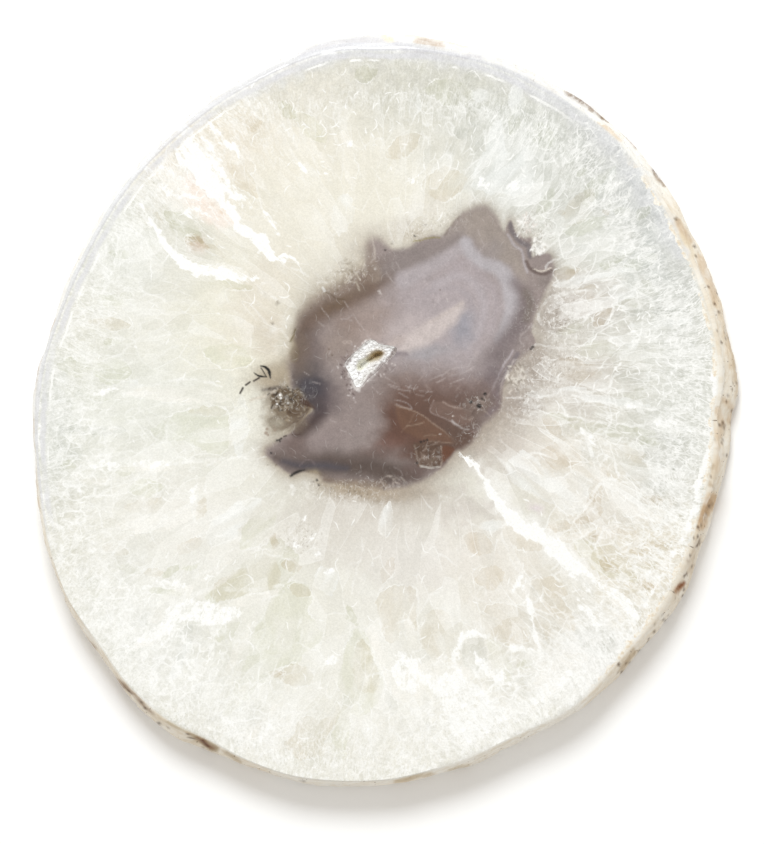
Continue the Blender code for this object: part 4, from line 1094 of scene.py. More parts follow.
def slab_rings():
    """The rings of points up the slab's side and down its hollow."""
    mesh = SLAB.data
    tree = BVHTree.FromPolygons([v.co for v in mesh.vertices], [p.vertices[:] for p in mesh.polygons])
    side = [ring_of(tree, (0, 0), EDGE_POINTS, h * MM, False, (0, THICKNESS)) for h in SIDE_HEIGHTS]
    hollow = [ring_of(tree, HOLLOW_MIDDLE, HOLLOW_POINTS, h * MM, True, (HOLLOW_HEIGHTS[-1] * MM, THICKNESS))
              for h in HOLLOW_HEIGHTS]
    return roughen(side), hollow


def build_slab(side, hollow):
    """The slab's points in metres, its triangles, and what each triangle is part of."""
    parts = Parts()
    edge, mouth, foot = pixels(side[-1]), pixels(hollow[0]), pixels(side[0])
    inner = spread_points(edge, mouth, point_spacing, STEPS)
    below = spread_points(foot, None, under_spacing, UNDER_STEPS)
    rings = [parts.put(ring) for ring in side]
    for lower, upper in zip(rings, rings[1:]):
        parts.join(ring_band(lower, upper, EDGE_POINTS), "side")
    walls = [parts.put(ring) for ring in hollow]
    for lower, upper in zip(walls, walls[1:]):
        parts.join(ring_band(lower, upper, HOLLOW_POINTS), "hollow")
    floor = parts.put(np.array([[*hollow[-1][:, :2].mean(0), HOLLOW_HEIGHTS[-1] * MM]]))
    parts.join(ring_fan(walls[-1], floor, HOLLOW_POINTS), "hollow")
    start = parts.put(level_points(inner, THICKNESS))
    number = np.concatenate([rings[-1] + np.arange(EDGE_POINTS), walls[0] + np.arange(HOLLOW_POINTS),
                             start + np.arange(len(inner))])
    parts.join(number[triangles_between([edge, mouth], inner)], "top")
    start = parts.put(level_points(below, 0))
    number = np.concatenate([rings[0] + np.arange(EDGE_POINTS), start + np.arange(len(below))])
    parts.join(number[triangles_between([foot], below)], "bottom")
    return parts.done()


def new_piece(name, points, faces, sharp):
    """A mesh object with its faces out and smooth, apart from edges sharper than some degrees."""
    mesh = bpy.data.meshes.new(name)
    mesh.from_pydata(points.tolist(), [], faces.tolist())
    bm = bmesh.new()
    bm.from_mesh(mesh)
    bmesh.ops.recalc_face_normals(bm, faces=bm.faces)
    bm.to_mesh(mesh)
    bm.free()
    mesh.shade_smooth()
    mesh.set_sharp_from_angle(angle=math.radians(sharp))
    piece = bpy.data.objects.new(name, mesh)
    bpy.context.scene.collection.objects.link(piece)
    return piece


def store(piece, name, values):
    """Keeps a number or a vector at each point of a mesh for its material."""
    kind, key = ("FLOAT", "value") if values.ndim == 1 else ("FLOAT_VECTOR", "vector")
    layer = piece.data.attributes.new(name, kind, "POINT")
    layer.data.foreach_set(key, values.astype(np.float32).ravel())


class Flow:
    """A node's output, for sums, differences and products."""

    def __init__(self, shade, socket):
        self.shade, self.socket = shade, socket

    def __add__(self, other):
        return self.shade.math("ADD", self, other)

    def __sub__(self, other):
        return self.shade.math("SUBTRACT", self, other)

    def __mul__(self, other):
        return self.shade.math("MULTIPLY", self, other)

    def __radd__(self, other):
        return self.shade.math("ADD", other, self)

    def __abs__(self):
        return self.shade.math("ABSOLUTE", self, 0.0)


class Shade:
    """A material's nodes, made with short calls."""

    def __init__(self, name):
        self.material = bpy.data.materials.new(name)
        self.material.use_nodes = True
        self.tree = self.material.node_tree
        self.shader = self.tree.nodes["Principled BSDF"]

    def feed(self, socket, value):
        if isinstance(value, Flow):
            self.tree.links.new(value.socket, socket)
        else:
            socket.default_value = value

    def put(self, kind, inputs, **settings):
        node = self.tree.nodes.new("ShaderNode" + kind)
        for key, value in settings.items():
            setattr(node, key, value)
        for key, value in inputs.items():
            self.feed(node.inputs[key], value)
        return node

    def out(self, name, kind, inputs, **settings):
        """One output of a new node, by its name or number."""
        return Flow(self, self.put(kind, inputs, **settings).outputs[name])

    def value(self, name):
        return self.out("Fac", "Attribute", {}, attribute_name=name)

    def vector(self, name):
        return self.out("Vector", "Attribute", {}, attribute_name=name)

    def math(self, operation, a, b):
        return self.out(0, "Math", {0: a, 1: b}, operation=operation)

    def span(self, value, low, high, first=0.0, last=1.0):
        """A smooth passage from first to last as the value goes from low to high."""
        return self.out(0, "MapRange", {"Value": value, "From Min": low, "From Max": high, "To Min": first,
                                        "To Max": last}, interpolation_type="SMOOTHSTEP")

    def stretch(self, vector, scale):
        return self.out(0, "VectorMath", {0: vector, 1: scale}, operation="MULTIPLY")

    def shift(self, vector, by):
        return self.out(0, "VectorMath", {0: vector, 1: by}, operation="ADD")

    def apart(self, a, b):
        return self.out(0, "VectorMath", {0: a, 1: b}, operation="SUBTRACT")

    def noise(self, vector, scale=1.0, detail=2.0, rough=0.5):
        inputs = {"Vector": vector, "Scale": scale, "Detail": detail, "Roughness": rough}
        return self.out("Fac", "TexNoise", inputs)

    def bend(self, vector, scale, amount, detail=0.0):
        """The vector moved about by noise, so that what is drawn on it isn't straight."""
        wave = self.out("Color", "TexNoise", {"Vector": vector, "Scale": scale, "Detail": detail})
        return self.shift(vector, self.stretch(self.apart(wave, (0.5, 0.5, 0.5)), (amount,) * 3))

    def cells(self, vector, dimensions="3D"):
        """The nearest cell of a cell pattern: the distance to its point, its colour and its place."""
        node = self.put("TexVoronoi", {"Vector": vector, "Scale": 1.0}, voronoi_dimensions=dimensions)
        return [Flow(self, node.outputs[name]) for name in ("Distance", "Color", "Position")]

    def cell_gap(self, vector, dimensions="3D"):
        """The distance to the nearest border between a cell pattern's cells."""
        return self.out("Distance", "TexVoronoi", {"Vector": vector, "Scale": 1.0},
                        feature="DISTANCE_TO_EDGE", voronoi_dimensions=dimensions)

    def mix(self, amount, first, second, blend="MIX"):
        """One colour over another, each a flow or red, green and blue."""
        pair = [c if isinstance(c, Flow) else (*c, 1) for c in (first, second)]
        return self.out(0, "MixRGB", {"Fac": amount, "Color1": pair[0], "Color2": pair[1]}, blend_type=blend)

    def split(self, vector):
        return [Flow(self, socket) for socket in self.put("SeparateXYZ", {0: vector}).outputs]

    def join(self, x, y):
        return self.out(0, "CombineXYZ", {0: x, 1: y})

    def bump(self, height, strength, distance):
        """The material's surface, pressed by a height."""
        self.feed(self.shader.inputs["Normal"],
                  self.out(0, "Bump", {"Height": height, "Strength": strength, "Distance": distance}))


def crystal_net(shade, flow, around, outward, width, bent, seed):
    """One size of quartz crystals, long towards the middle: their seams and their shading.

    around is the number of crystals round the slice over tau, outward the number along its radius.
    The shading is positive where a crystal is milky and negative where it is clear.
    """
    spot = shade.shift(shade.stretch(flow, (around, around, outward)), (seed, 0, 0))
    spot = shade.bend(spot, 0.7, bent, 1.0)
    _, colour, centre = shade.cells(spot)
    lean = shade.apart(spot, centre)
    slope = shade.out("Value", "VectorMath", {0: lean, 1: shade.apart(colour, (0.5, 0.5, 0.5))},
                      operation="DOT_PRODUCT")
    level = shade.split(colour)[0] - 0.5
    shading = slope * 1.3 + level * 1.3
    return shade.span(shade.cell_gap(spot), 0.0, width, 1.0, 0.0), shading


def wisps(shade, flow, around, outward, thin, seed):
    """Fine broken lines along the crystals: white ones, each with a grey one beside it."""
    spot = shade.bend(shade.shift(shade.stretch(flow, (around, around, outward)), (0, seed, 0)), 0.6, 0.5)
    level = shade.noise(spot, 1.0, 3.0, 0.6)
    off = abs(level - 0.5)
    beside = abs(level - (0.5 + 2.2 * thin))
    broken = shade.noise(shade.stretch(flow, (around * 0.4, around * 0.4, outward * 1.6)), 1.0, 2.0)
    mask = shade.span(broken, 0.46, 0.6)
    return (shade.span(off, thin * 0.3, thin, 1.0, 0.0) * mask,
            shade.span(beside, 0.0, thin * 1.2, 1.0, 0.0) * mask)


def chips(shade, place, spacing, length, width, share, seed):
    """Short bright marks, scattered over the face, hardly curved."""
    spot = shade.bend(shade.shift(shade.stretch(place, (1 / spacing,) * 3), (seed, seed * 0.7, 0)), 2.5, 0.16)
    _, colour, centre = shade.cells(spot, "2D")
    x, y, _ = shade.split(shade.apart(spot, centre))
    chance, turn, size = shade.split(colour)
    angle = shade.span(turn, 0.0, 1.0, -2.2, 2.2)
    turned = shade.out(0, "VectorRotate", {"Vector": shade.join(x, y), "Angle": angle},
                       rotation_type="Z_AXIS")
    u, v, _ = shade.split(turned)
    v = v + u * u * shade.span(size, 0.0, 1.0, -1.0, 1.0)
    u = u * shade.span(size, 0.0, 1.0, 2.6 * spacing / length, 0.8 * spacing / length)
    v = v * (spacing / width)
    reach = shade.out("Value", "VectorMath", {0: shade.join(u, v)}, operation="LENGTH")
    return shade.span(reach, 0.45, 1.15, 1.0, 0.0) * shade.span(chance, 1 - share, 1 - share + 0.02)


def plate_look(shade, tone, place, flow):
    """The tone with the single crystals on it, each with a broken light line along its edge."""
    white = stone_colour((254, 254, 251))
    torn = shade.noise(shade.stretch(flow, (70, 70, 10)), 1.0, 1.0)
    jag = (shade.noise(place, 0.16, 3.0, 0.72) - 0.5) * 8.0 + (torn - 0.5) * 3.5
    lined = shade.span(shade.noise(shade.shift(place, (0, 0, 40)), 0.05, 1.0), 0.46, 0.64, 0.0, 0.55)
    grade = shade.span(shade.noise(shade.stretch(flow, (16, 16, 3)), 1.0, 1.0), 0.36, 0.62, 0.3, 1.0)
    for name, tint in PLATE_TINTS.items():
        inside = shade.value(name) + jag
        filled = shade.span(inside, -0.6, 0.8) * grade
        if name in ("mist", "cream"):
            tone = shade.mix(filled * 0.5, tone, [c * 0.86 for c in tint])
        else:
            tone = shade.mix(filled, tone, tint, "MULTIPLY")
        gap = abs(inside + 0.6)
        tone = shade.mix(shade.span(gap, 0.3, 1.1, 1.0, 0.0) * lined, tone, white)
    return tone


def quartz_look(shade, tone, place, flow, shown):
    """The tone with its crystals, seams, milky patches, chips and grain on it."""
    rim, clear, milk, net, haze = (shade.value(name) for name in ("rim", "quartz", "milk", "net", "haze"))
    white = stone_colour((255, 255, 253))
    grey, faint_grey = (0.86, 0.865, 0.85), (0.85, 0.855, 0.83)
    if shown == "core":
        return fleck_look(shade, tone, place, clear)
    if shown == "all":
        tone = plate_look(shade, tone, place, flow)

    # Milky patches with ragged edges, long towards the middle
    rays = shade.noise(shade.bend(shade.stretch(flow, (15, 15, 1.5)), 0.8, 0.8), 1.0, 3.0, 0.66)
    clouds = shade.noise(place, 0.03, 4.0, 0.66)
    level = clouds * 0.8 + rays * 0.4 + haze * 0.36
    patch = shade.span(level, 0.70, 0.86)
    tone = shade.mix(patch * clear * 0.22, tone, white)
    shadow = shade.span(level, 0.71, 0.6)
    tone = shade.mix(shadow * clear * 0.1, tone, grey, "MULTIPLY")

    # Crystals in three sizes: coarse inside, fine at the rim
    patchy = shade.span(shade.noise(shade.shift(place, (70, 30, 0)), 0.045, 1.0), 0.4, 0.6, 0.0, 1.0)
    middling = shade.span(rim, 190.0, 70.0) * shade.span(rim, 2.0, 20.0)
    sizes = [
        (crystal_net(shade, flow, 9.5, 1.9, 0.03, 0.5, 3), shade.span(rim, 14.0, 70.0), 0.8),
        (crystal_net(shade, flow, 27.0, 3.6, 0.06, 0.7, 17), middling, 0.8),
    ]
    if shown != "plain":
        sizes.append((crystal_net(shade, flow, 66.0, 7.0, 0.12, 1.1, 29), shade.span(rim, 90.0, 8.0), 0.9))
    for (seam, shading), zone, strength in sizes:
        amount = zone * net * strength
        tone = shade.mix(shade.span(shading, 0.05, 0.75) * (amount * 0.5), tone, white)
        tone = shade.mix(shade.span(shading, 0.0, -0.7) * (amount * 0.5), tone, grey, "MULTIPLY")
        tone = shade.mix(seam * amount * (patchy * 0.75), tone, white)

    # Fine broken lines, and a feathery speckle towards the rim
    near_rim = shade.span(rim, 90.0, 6.0, 0.12, 1.0)
    for around, outward, thin, seed, strength in ((34, 3.6, 0.05, 7, 0.75), (80, 9.0, 0.06, 23, 0.8)):
        bright, dull = wisps(shade, flow, around, outward, thin, seed)
        amount = net * near_rim * strength
        tone = shade.mix(dull * (amount * 0.62), tone, grey, "MULTIPLY")
        tone = shade.mix(bright * amount, tone, white)
    for scale, wave, share in (((96, 96, 11), 0.6, 0.42), ((120, 120, 26), 0.5, 0.66)):
        comb = shade.noise(shade.bend(shade.stretch(flow, scale), wave, 1.0), 1.0, 3.0, 0.72)
        amount = clear * shade.span(rim, 90.0, 2.0, 0.1 * share, share)
        tone = shade.mix(shade.span(comb, 0.53, 0.68) * amount, tone, white)
        tone = shade.mix(shade.span(comb, 0.47, 0.32) * (amount * 0.9), tone, faint_grey, "MULTIPLY")

    # Thin seams, and white veins and crystals with feathered edges
    fray = shade.noise(place, 0.35, 3.0, 0.65)
    near = shade.value("seam") + (fray - 0.5) * 0.7
    broken = shade.span(shade.noise(shade.shift(place, (0, 30, 0)), 0.06, 2.0, 0.65), 0.4, 0.62, 0.15, 1.0)
    tone = shade.mix(shade.span(near, 0.5, 1.0) * shade.value("seam_strength") * broken, tone, white)
    strand = shade.noise(shade.bend(shade.stretch(flow, (85, 85, 5)), 0.5, 0.7), 1.0, 3.0, 0.68)
    coarse = shade.noise(place, 0.12, 3.0, 0.7)
    level = milk + ((strand - 0.5) * 1.7 + (coarse - 0.5) * 1.9)
    solid = shade.span(milk, 1.0, 1.6, 0.0, 0.25)
    tone = shade.mix(shade.span(level + solid, 0.78, 1.3) * shade.span(milk, 0.1, 0.6), tone, white)

    bright = chips(shade, place, 17.0, 7.0, 0.8, 0.26, 0.0)
    tone = shade.mix(bright * clear * 0.7, tone, white)
    if shown == "all":
        tone = lace_look(shade, tone, place, white)
    # The ground edge's painted reflection and painted highlight, and the rind chipped into the edge
    if shown != "plain":
        tone = edge_sheen_and_chips_look(shade, tone, place, rim, white)
    return fleck_look(shade, tone, place, clear) if shown == "all" else tone


def lace_look(shade, tone, place, white):
    """Nets of small crystals with white lines round them, and many short bright marks."""
    lace = shade.value("lace")
    for spacing, width, seed in ((27.0, 0.07, 5.0), (12.5, 0.10, 31.0)):
        spot = shade.shift(shade.stretch(place, (0.8 / spacing, 1 / spacing, 0)), (seed, 0, 0))
        spot = shade.bend(spot, 1.6, 0.95)
        gap = shade.cell_gap(spot, "2D")
        level = shade.split(shade.cells(spot, "2D")[1])[0]
        broken = shade.span(shade.noise(shade.shift(place, (seed, 0, 0)), 0.07, 2.0, 0.6), 0.38, 0.58)
        amount = lace * broken
        inside = shade.span(level, 0.45, 0.85) * shade.span(gap, width * 0.5, width * 2)
        tone = shade.mix(inside * (amount * 0.55), tone, (0.87, 0.865, 0.84), "MULTIPLY")
        tone = shade.mix(shade.span(gap, width * 0.35, width, 1.0, 0.0) * (amount * 0.75), tone, white)
    mark = chips(shade, place, 10.5, 9.0, 0.85, 0.3, 21.0)
    return shade.mix(mark * shade.value("marks") * 0.8, tone, white)


def edge_sheen_and_chips_look(shade, tone, place, rim, white):
    """The ground edge round the top, painted as its reflection and highlight: a thin grey line, a smooth grey
    band and a thin white line.
    """
    # Painted reflection and painted highlight of the ground edge, on the upper-left half of the top
    painted_edge_sheen = shade.value("painted_edge_sheen")
    wave = (shade.noise(place, 0.05, 2.0) - 0.5) * 5.0
    fine = (shade.noise(place, 0.3, 2.0) - 0.5) * 1.6
    depth = rim + (wave + fine)
    band = shade.span(depth, 11.0, 7.5) * shade.span(depth, 2.6, 5.0)
    uneven = shade.span(shade.noise(shade.shift(place, (60, 0, 0)), 0.03, 2.0), 0.36, 0.6, 0.3, 0.75)
    tone = shade.mix(band * painted_edge_sheen * uneven, tone, stone_colour((224, 224, 228)))
    gap = abs(depth - 11.5)
    broken = shade.span(shade.noise(shade.shift(place, (0, 0, 90)), 0.05, 1.0), 0.47, 0.6)
    tone = shade.mix(shade.span(gap, 1.6, 0.6) * painted_edge_sheen * (broken * 0.8), tone, white)
    edge = shade.span(rim + fine, 2.3, 1.0)
    tone = shade.mix(edge * painted_edge_sheen * 0.6, tone, stone_colour((212, 212, 217)))
    # The rind, chipped into the face's edge on the right and below
    bays = (shade.noise(shade.shift(place, (0, 0, 30)), 0.055, 3.0, 0.65) - 0.5) * 22.0
    chipped = shade.span(rim + bays, 1.6, 0.2) * shade.value("chipped")
    grain = shade.noise(place, 0.22, 3.0, 0.7)
    pale, warm = stone_colour((252, 248, 238)), stone_colour((238, 224, 202))
    skin = shade.mix(shade.span(grain, 0.42, 0.62), pale, warm)
    return shade.mix(chipped, tone, skin)


def fleck_look(shade, tone, place, clear):
    """Many fine light and dark marks where the stone is clear and broken, fewer on the agate."""
    share = shade.value("flecks") * shade.span(clear, 0.0, 0.5, 0.4, 1.0)
    scratch = chips(shade, place, 11.0, 6.0, 0.42, 0.4, 27.0)
    tone = shade.mix(scratch * shade.span(clear, 0.3, 0.0, 0.0, 0.15), tone, (0.7, 0.68, 0.67))
    for spacing, length, seed, seen in (
        (5.5, 3.2, 3.0, (0.82, 0.80, 0.77)),
        (4.2, 2.2, 9.0, (0.86, 0.84, 0.81)),
    ):
        mark = chips(shade, place, spacing, length, 0.55, 0.4, seed)
        tone = shade.mix(mark * share * 0.6, tone, seen)
    dark = chips(shade, place, 4.6, 2.6, 0.6, 0.4, 14.0)
    tone = shade.mix(dark * share * 0.6, tone, (0.62, 0.58, 0.55), "MULTIPLY")
    broken = shade.noise(shade.shift(place, (20, 0, 0)), 0.2, 2.0, 0.75)
    tone = shade.mix(shade.span(broken, 0.52, 0.66) * (share * 0.4), tone, (0.8, 0.79, 0.77))
    return shade.mix(shade.span(broken, 0.48, 0.34) * (share * 0.5), tone, (0.7, 0.67, 0.64), "MULTIPLY")


def fine_grain(shade, tone, place, clear):
    """Fine grain everywhere, and soft mottling on the agate."""
    grain = shade.noise(place, 0.62, 2.0, 0.75)
    mottle = shade.noise(shade.shift(place, (0, 50, 0)), 0.11, 3.0, 0.7)
    lighter = 1.0 + (grain - 0.5) * shade.span(clear, 0.0, 1.0, 0.55, 0.4)
    clouded = lighter + (mottle - 0.5) * shade.span(clear, 0.0, 1.0, 0.4, 0.06)
    return shade.mix(1.0, tone, clouded, "MULTIPLY")


def rind_look(shade, tone, along):
    """The rough side: its lengthwise streaks, pores and chalky patches."""
    streak = shade.noise(shade.bend(shade.stretch(along, (34, 34, 2.6)), 0.5, 0.8), 1.0, 4.0, 0.6)
    patch = shade.noise(shade.stretch(along, (12, 12, 0.5)), 1.0, 3.0)
    tone = shade.mix(shade.span(streak, 0.42, 0.6, 0.0, 0.36), tone, (0.83, 0.74, 0.61), "MULTIPLY")
    tone = shade.mix(shade.span(patch, 0.5, 0.68, 0.0, 0.36), tone, (0.84, 0.75, 0.62), "MULTIPLY")
    tone = shade.mix(shade.span(patch, 0.46, 0.3, 0.0, 0.6), tone, stone_colour((252, 250, 244)))
    spot = shade.stretch(along, (105, 105, 2.3))
    gap, colour, _ = shade.cells(spot)
    chance = shade.split(colour)[0]
    hole = shade.span(gap, 0.10, 0.26, 1.0, 0.0) * shade.span(chance, 0.72, 0.74)
    return shade.mix(hole * 0.7, tone, (0.16, 0.1, 0.06)), streak, hole


def face_material(shown):
    """The polished faces, with as many of the layers as they need."""
    shade = Shade("agate_" + shown)
    tone, smear = polished(shade, shown)
    shade.feed(shade.shader.inputs["Base Color"], tone)
    shade.feed(shade.shader.inputs["Roughness"], smear)
    return shade.material


# The stone's materials: the side, and the face with all of its layers or fewer
LOOKS = ("all", "side", "rim", "plain", "core")
# The most of a layer that doesn't show, how far outside a plate its ragged edge can end, and how far
# from the slice's edge its own layers end
UNSEEN = 0.004
PLATE_END = -7.5
RIM_END = 90


def sort_faces(piece, faces, kinds):
    """The material that each face wears: the plainest one that shows all that is painted there."""
    def corners(name):
        values = np.empty(len(piece.data.vertices), dtype=np.float32)
        piece.data.attributes[name].data.foreach_get("value", values)
        return values[faces]

    busy = np.zeros(len(faces), dtype=bool)
    for name in ("lace", "marks"):
        busy |= corners(name).max(1) > UNSEEN
    for name in PLATE_TINTS:
        busy |= corners(name).max(1) > PLATE_END
    flecked = corners("flecks").max(1) > UNSEEN
    quartz = corners("quartz")
    whole = ~busy & ~flecked & (quartz.min(1) >= 0.3)
    inland = corners("rim").min(1) > RIM_END
    core = ~busy & inland & (quartz.max(1) <= 0)
    for name in ("milk", "seam"):
        core &= corners(name).max(1) <= 0.1
    looks = np.full(len(faces), LOOKS.index("all"), dtype=np.int32)
    for look, worn in (("rim", whole), ("plain", whole & inland), ("core", core), ("side", kinds == "side")):
        looks[worn] = LOOKS.index(look)
    return looks


def polished(shade, shown):
    """What all of the stone's materials start from: the polished face's tone and roughness."""
    place, flow = shade.vector("place"), shade.vector("flow")
    tone = quartz_look(shade, shade.vector("tone"), place, flow, shown)
    tone = fine_grain(shade, tone, place, shade.value("quartz"))
    shade.shader.inputs["IOR"].default_value = 1.54
    shade.shader.inputs["Specular IOR Level"].default_value = 0.45
    return tone, shade.span(shade.noise(place, 0.02, 3.0), 0.3, 0.7, 0.07, 0.2)


def side_material():
    """The slice's side: the polished stone where it shows, and a rough rind."""
    shade = Shade("agate_side")
    face, smear = polished(shade, "all")
    rind, along = shade.value("rind"), shade.vector("along")
    side, streak, hole = rind_look(shade, shade.vector("tone"), along)
    shade.feed(shade.shader.inputs["Base Color"], shade.mix(rind, face, side))
    rough = shade.span(streak, 0.3, 0.7, 0.62, 0.9)
    gloss = shade.out(0, "MapRange", {"Value": rind, "To Min": smear, "To Max": rough})
    shade.feed(shade.shader.inputs["Roughness"], gloss)
    fine = shade.noise(shade.stretch(along, (400, 400, 8)), 1.0, 3.0, 0.6)
    height = streak * 0.5 + fine * 0.3 - hole * 0.5
    shade.bump(height * rind, 0.6, 0.25 * MM)
    return shade.material


def dress_slab(piece, points, edge, kinds_at):
    """Paints the slab's points and keeps what its material needs to know at each of them."""
    places = pixels(points)
    canvas = Canvas(places)
    room, _ = depth_inside(places, edge, 400)
    room = np.where(inside_outline(places, edge), np.abs(room), -np.abs(room))
    paint_quartz(canvas)
    paint_plates(canvas)
    for line, (width, amount) in SEAMS:
        thick, strong = (0.7, 0.78) if line[0][0] > PLAIN_SEAMS else (0.55, 0.58)
        canvas.join_line(line, np.array(width) * thick, amount * strong)
    paint_fractures(canvas)
    inside = paint_agate(canvas)
    paint_crystals(canvas)
    paint_core_lines(canvas)
    paint_hollow_border(canvas)
    paint_border(canvas)
    face = canvas.tone.copy()
    turn = np.degrees(np.arctan2(points[:, 1], points[:, 0])) % 360
    # The north side, which faces the key light, is painted near-white: partly the rind's own pale cream,
    # partly painted light
    pale = rise(34, 42, turn) * rise(205, 180, turn)
    # The top of the north side shows the face's colour: its white skin and the ground edge's painted
    # reflection and highlight
    white_skin_and_sheen = rise(72, 92, turn) * rise(205, 180, turn) * rise(5.2, 5.5, points[:, 2] / MM)
    canvas.lay(np.ones(len(points)), RIND)
    # The fainter share lightens the south side to offset the shade it gets from the key light: painted light
    canvas.lay(0.85 * pale + 0.6 * rise(248, 256, turn) * rise(310, 302, turn), (253, 252, 247))
    paint_border(canvas)
    rind_marks(canvas)
    side = (points[:, 2] > 0.01 * MM) & (room < 6) & (points[:, 2] < THICKNESS - 0.01 * MM) & kinds_at
    rind = side * rise(5.95, 5.8, points[:, 2] / MM) * (1 - white_skin_and_sheen)
    tone = face + rind[:, None] * (canvas.tone - face)
    rind = rind * (1 - 0.6 * pale)
    quartz = (1 - inside) * (1 - rind) * (1 - canvas.calm)
    away = places - GROWTH
    flow = np.arctan2(away[:, 1], away[:, 0]) + 0.06 * layered_noise(places, 90, 2, 71)
    circle = np.hypot(points[:, 0], points[:, 1])
    kept = {
        "tone": tone, "rind": rind, "milk": canvas.milk, "haze": canvas.haze, "seam": canvas.seam,
        "seam_strength": canvas.seam_strength, "flecks": canvas.flecks,
        "lace": canvas.lace * (1 - inside) * (1 - rind),
        "marks": canvas.marks * (1 - inside) * (1 - rind),
        # Where the ground edge's painted reflection and painted highlight go: the upper-left half of the top
        "painted_edge_sheen": rise(52, 66, turn) * rise(206, 190, turn) * (1 - rind),
        "chipped": np.maximum(rise(304, 312, turn), rise(48, 40, turn)) * (1 - rind),
        **canvas.plates,
        "rim": np.maximum(room, 0), "quartz": quartz, "net": quartz * net_strength(places),
        "place": np.column_stack([places, points[:, 2] / PIXEL]),
        "flow": np.column_stack([np.cos(flow), np.sin(flow), np.hypot(away[:, 0], away[:, 1]) / 100]),
        "along": np.column_stack([*(points[:, :2] / circle.clip(1e-6)[:, None]).T,
                                  points[:, 2] / MM + (circle - 0.05) / MM * 0.6]),
    }
    for name, values in kept.items():
        store(piece, name, values)


def net_strength(places):
    """How plainly the crystals show: most on the right, least on the left."""
    x, y = places.T
    strength = 0.62 + 0.38 * rise(330, 600, x + 0.15 * (400 - y))
    return strength * (1 - 0.35 * np.exp(-((x - 300) ** 2 + (y - 170) ** 2) / 110 ** 2))


def turn_share(corners, middle):
    """The share of a turn round a middle at each corner of the faces, with no jump inside a face."""
    turn = np.arctan2(corners[:, :, 1] - middle[1], corners[:, :, 0] - middle[0]) / math.tau % 1
    first = turn[:, :1]
    return first + (turn - first + 0.5) % 1 - 0.5


def lay_out(piece, kinds, faces, points):
    """A flat map of the mesh for baking: a large upper face, the lower face and strips of the side."""
    layer = piece.data.uv_layers.new(name="OFBake")
    width, depth = (np.array(cad_box[1]) - np.array(cad_box[0]))[:2]
    corners = points[faces]
    u = (corners[:, :, 0] + width / 2) / width
    v = (corners[:, :, 1] + depth / 2) / depth
    top_wide = 0.72
    flat = np.dstack([u * top_wide + 0.004, v * top_wide * depth / width + 0.004])
    under_wide = 0.26
    under = np.dstack([u * under_wide + 0.732, v * under_wide * depth / width + 0.004])
    height = corners[:, :, 2] / THICKNESS
    turn = turn_share(corners, (0, 0))
    strips = 4
    strip = np.floor(turn.mean(axis=1, keepdims=True) * strips).clip(0, strips - 1)
    side = np.dstack([(turn * strips - strip) * 0.96 + 0.015, 0.786 + strip * 0.05 + height * 0.044])
    well = np.dstack([0.735 + turn_share(corners, HOLLOW_MIDDLE) * 0.2 + 0.02, 0.33 + height * 0.04])
    uv = flat.copy()
    for kind, chart in (("bottom", under), ("side", side), ("hollow", well)):
        uv[kinds == kind] = chart[kinds == kind]
    layer.data.foreach_set("uv", uv.astype(np.float32).ravel())


# The crystal crust: the hole in it, in pixels, clockwise from the left
POCKET = rows("""
356,366 358,361 363,358 369,355 374,351 380,350.5 383,353 382,357 377,361 371,363 367,367 362,371 357,371
""")[0]
CRUST_STEP = 0.55
CRUST_FOOT = 1.7
POCKET_DEPTH = 1.5


def crust_height(places, mouth):
    """The height of the crust's surface, in millimetres: flat-faced crystals round a deep pocket."""
    rng = np.random.default_rng(9)
    pocket = smooth_line(POCKET, closed=True, steps=4)
    depth, _ = depth_inside(places, pocket, 60)
    room, _ = depth_inside(places, mouth, 60)
    base = 5.93 - POCKET_DEPTH * rise(-1.5, 5.5, depth) - 0.16 * rise(-9, 0, depth)
    low, high = mouth.min(0), mouth.max(0)
    height = base - 0.3
    for _ in range(520):
        spot = rng.uniform(low, high)
        size = rng.uniform(1.1, 3.2)
        turn, tilt = rng.uniform(0, math.tau), rng.uniform(-0.12, 0.12, 2)
        off = places - spot
        near = np.flatnonzero(np.abs(off).max(1) < size * 1.5)
        off = off[near]
        slope = np.full(len(near), -9.0)
        for k in range(6):
            a = turn + k * math.tau / 6
            slope = np.maximum(slope, off[:, 0] * math.cos(a) + off[:, 1] * math.sin(a))
        crown = (size - slope) * PIXEL / MM * 1.1 + off @ tilt * PIXEL / MM - 0.12
        height[near] = np.maximum(height[near], base[near] - 0.28 + np.clip(crown, 0, 0.36))
    top = 5.96 - 0.25 * rise(-12, -1, depth)
    height = np.minimum(height, top)
    edge = rise(0.2, 2.2, room)
    return height * edge + 5.97 * (1 - edge), depth


def build_crust(hollow):
    """The crust's points and triangles, closed by the hollow's wall and floor."""
    parts = Parts()
    middle = np.array(HOLLOW_MIDDLE[:2])
    walls = []
    for ring in hollow:
        wall = ring.copy()
        away = wall[:, :2] - middle
        wall[:, :2] -= away / np.linalg.norm(away, axis=1, keepdims=True) * 0.03 * MM
        walls.append(wall)
    walls[0][:, 2] = THICKNESS - 0.02 * MM
    walls[-1][:, 2] = CRUST_FOOT * MM
    walls = [w for w in walls if w[0, 2] >= CRUST_FOOT * MM]
    mouth = pixels(walls[0])
    inner = spread_points(mouth, None, lambda p: np.full(len(p), CRUST_STEP), [CRUST_STEP])
    height, _ = crust_height(inner, mouth)
    rings = [parts.put(w) for w in walls]
    for upper, lower in zip(rings, rings[1:]):
        parts.join(ring_band(lower, upper, HOLLOW_POINTS), "wall")
    start = parts.put(level_points(inner, height * MM))
    number = np.concatenate([rings[0] + np.arange(HOLLOW_POINTS), start + np.arange(len(inner))])
    parts.join(number[triangles_between([mouth], inner)], "top")
    floor = parts.put(np.array([[*walls[-1][:, :2].mean(0), CRUST_FOOT * MM]]))
    parts.join(ring_fan(rings[-1], floor, HOLLOW_POINTS), "wall")
    return parts.done()


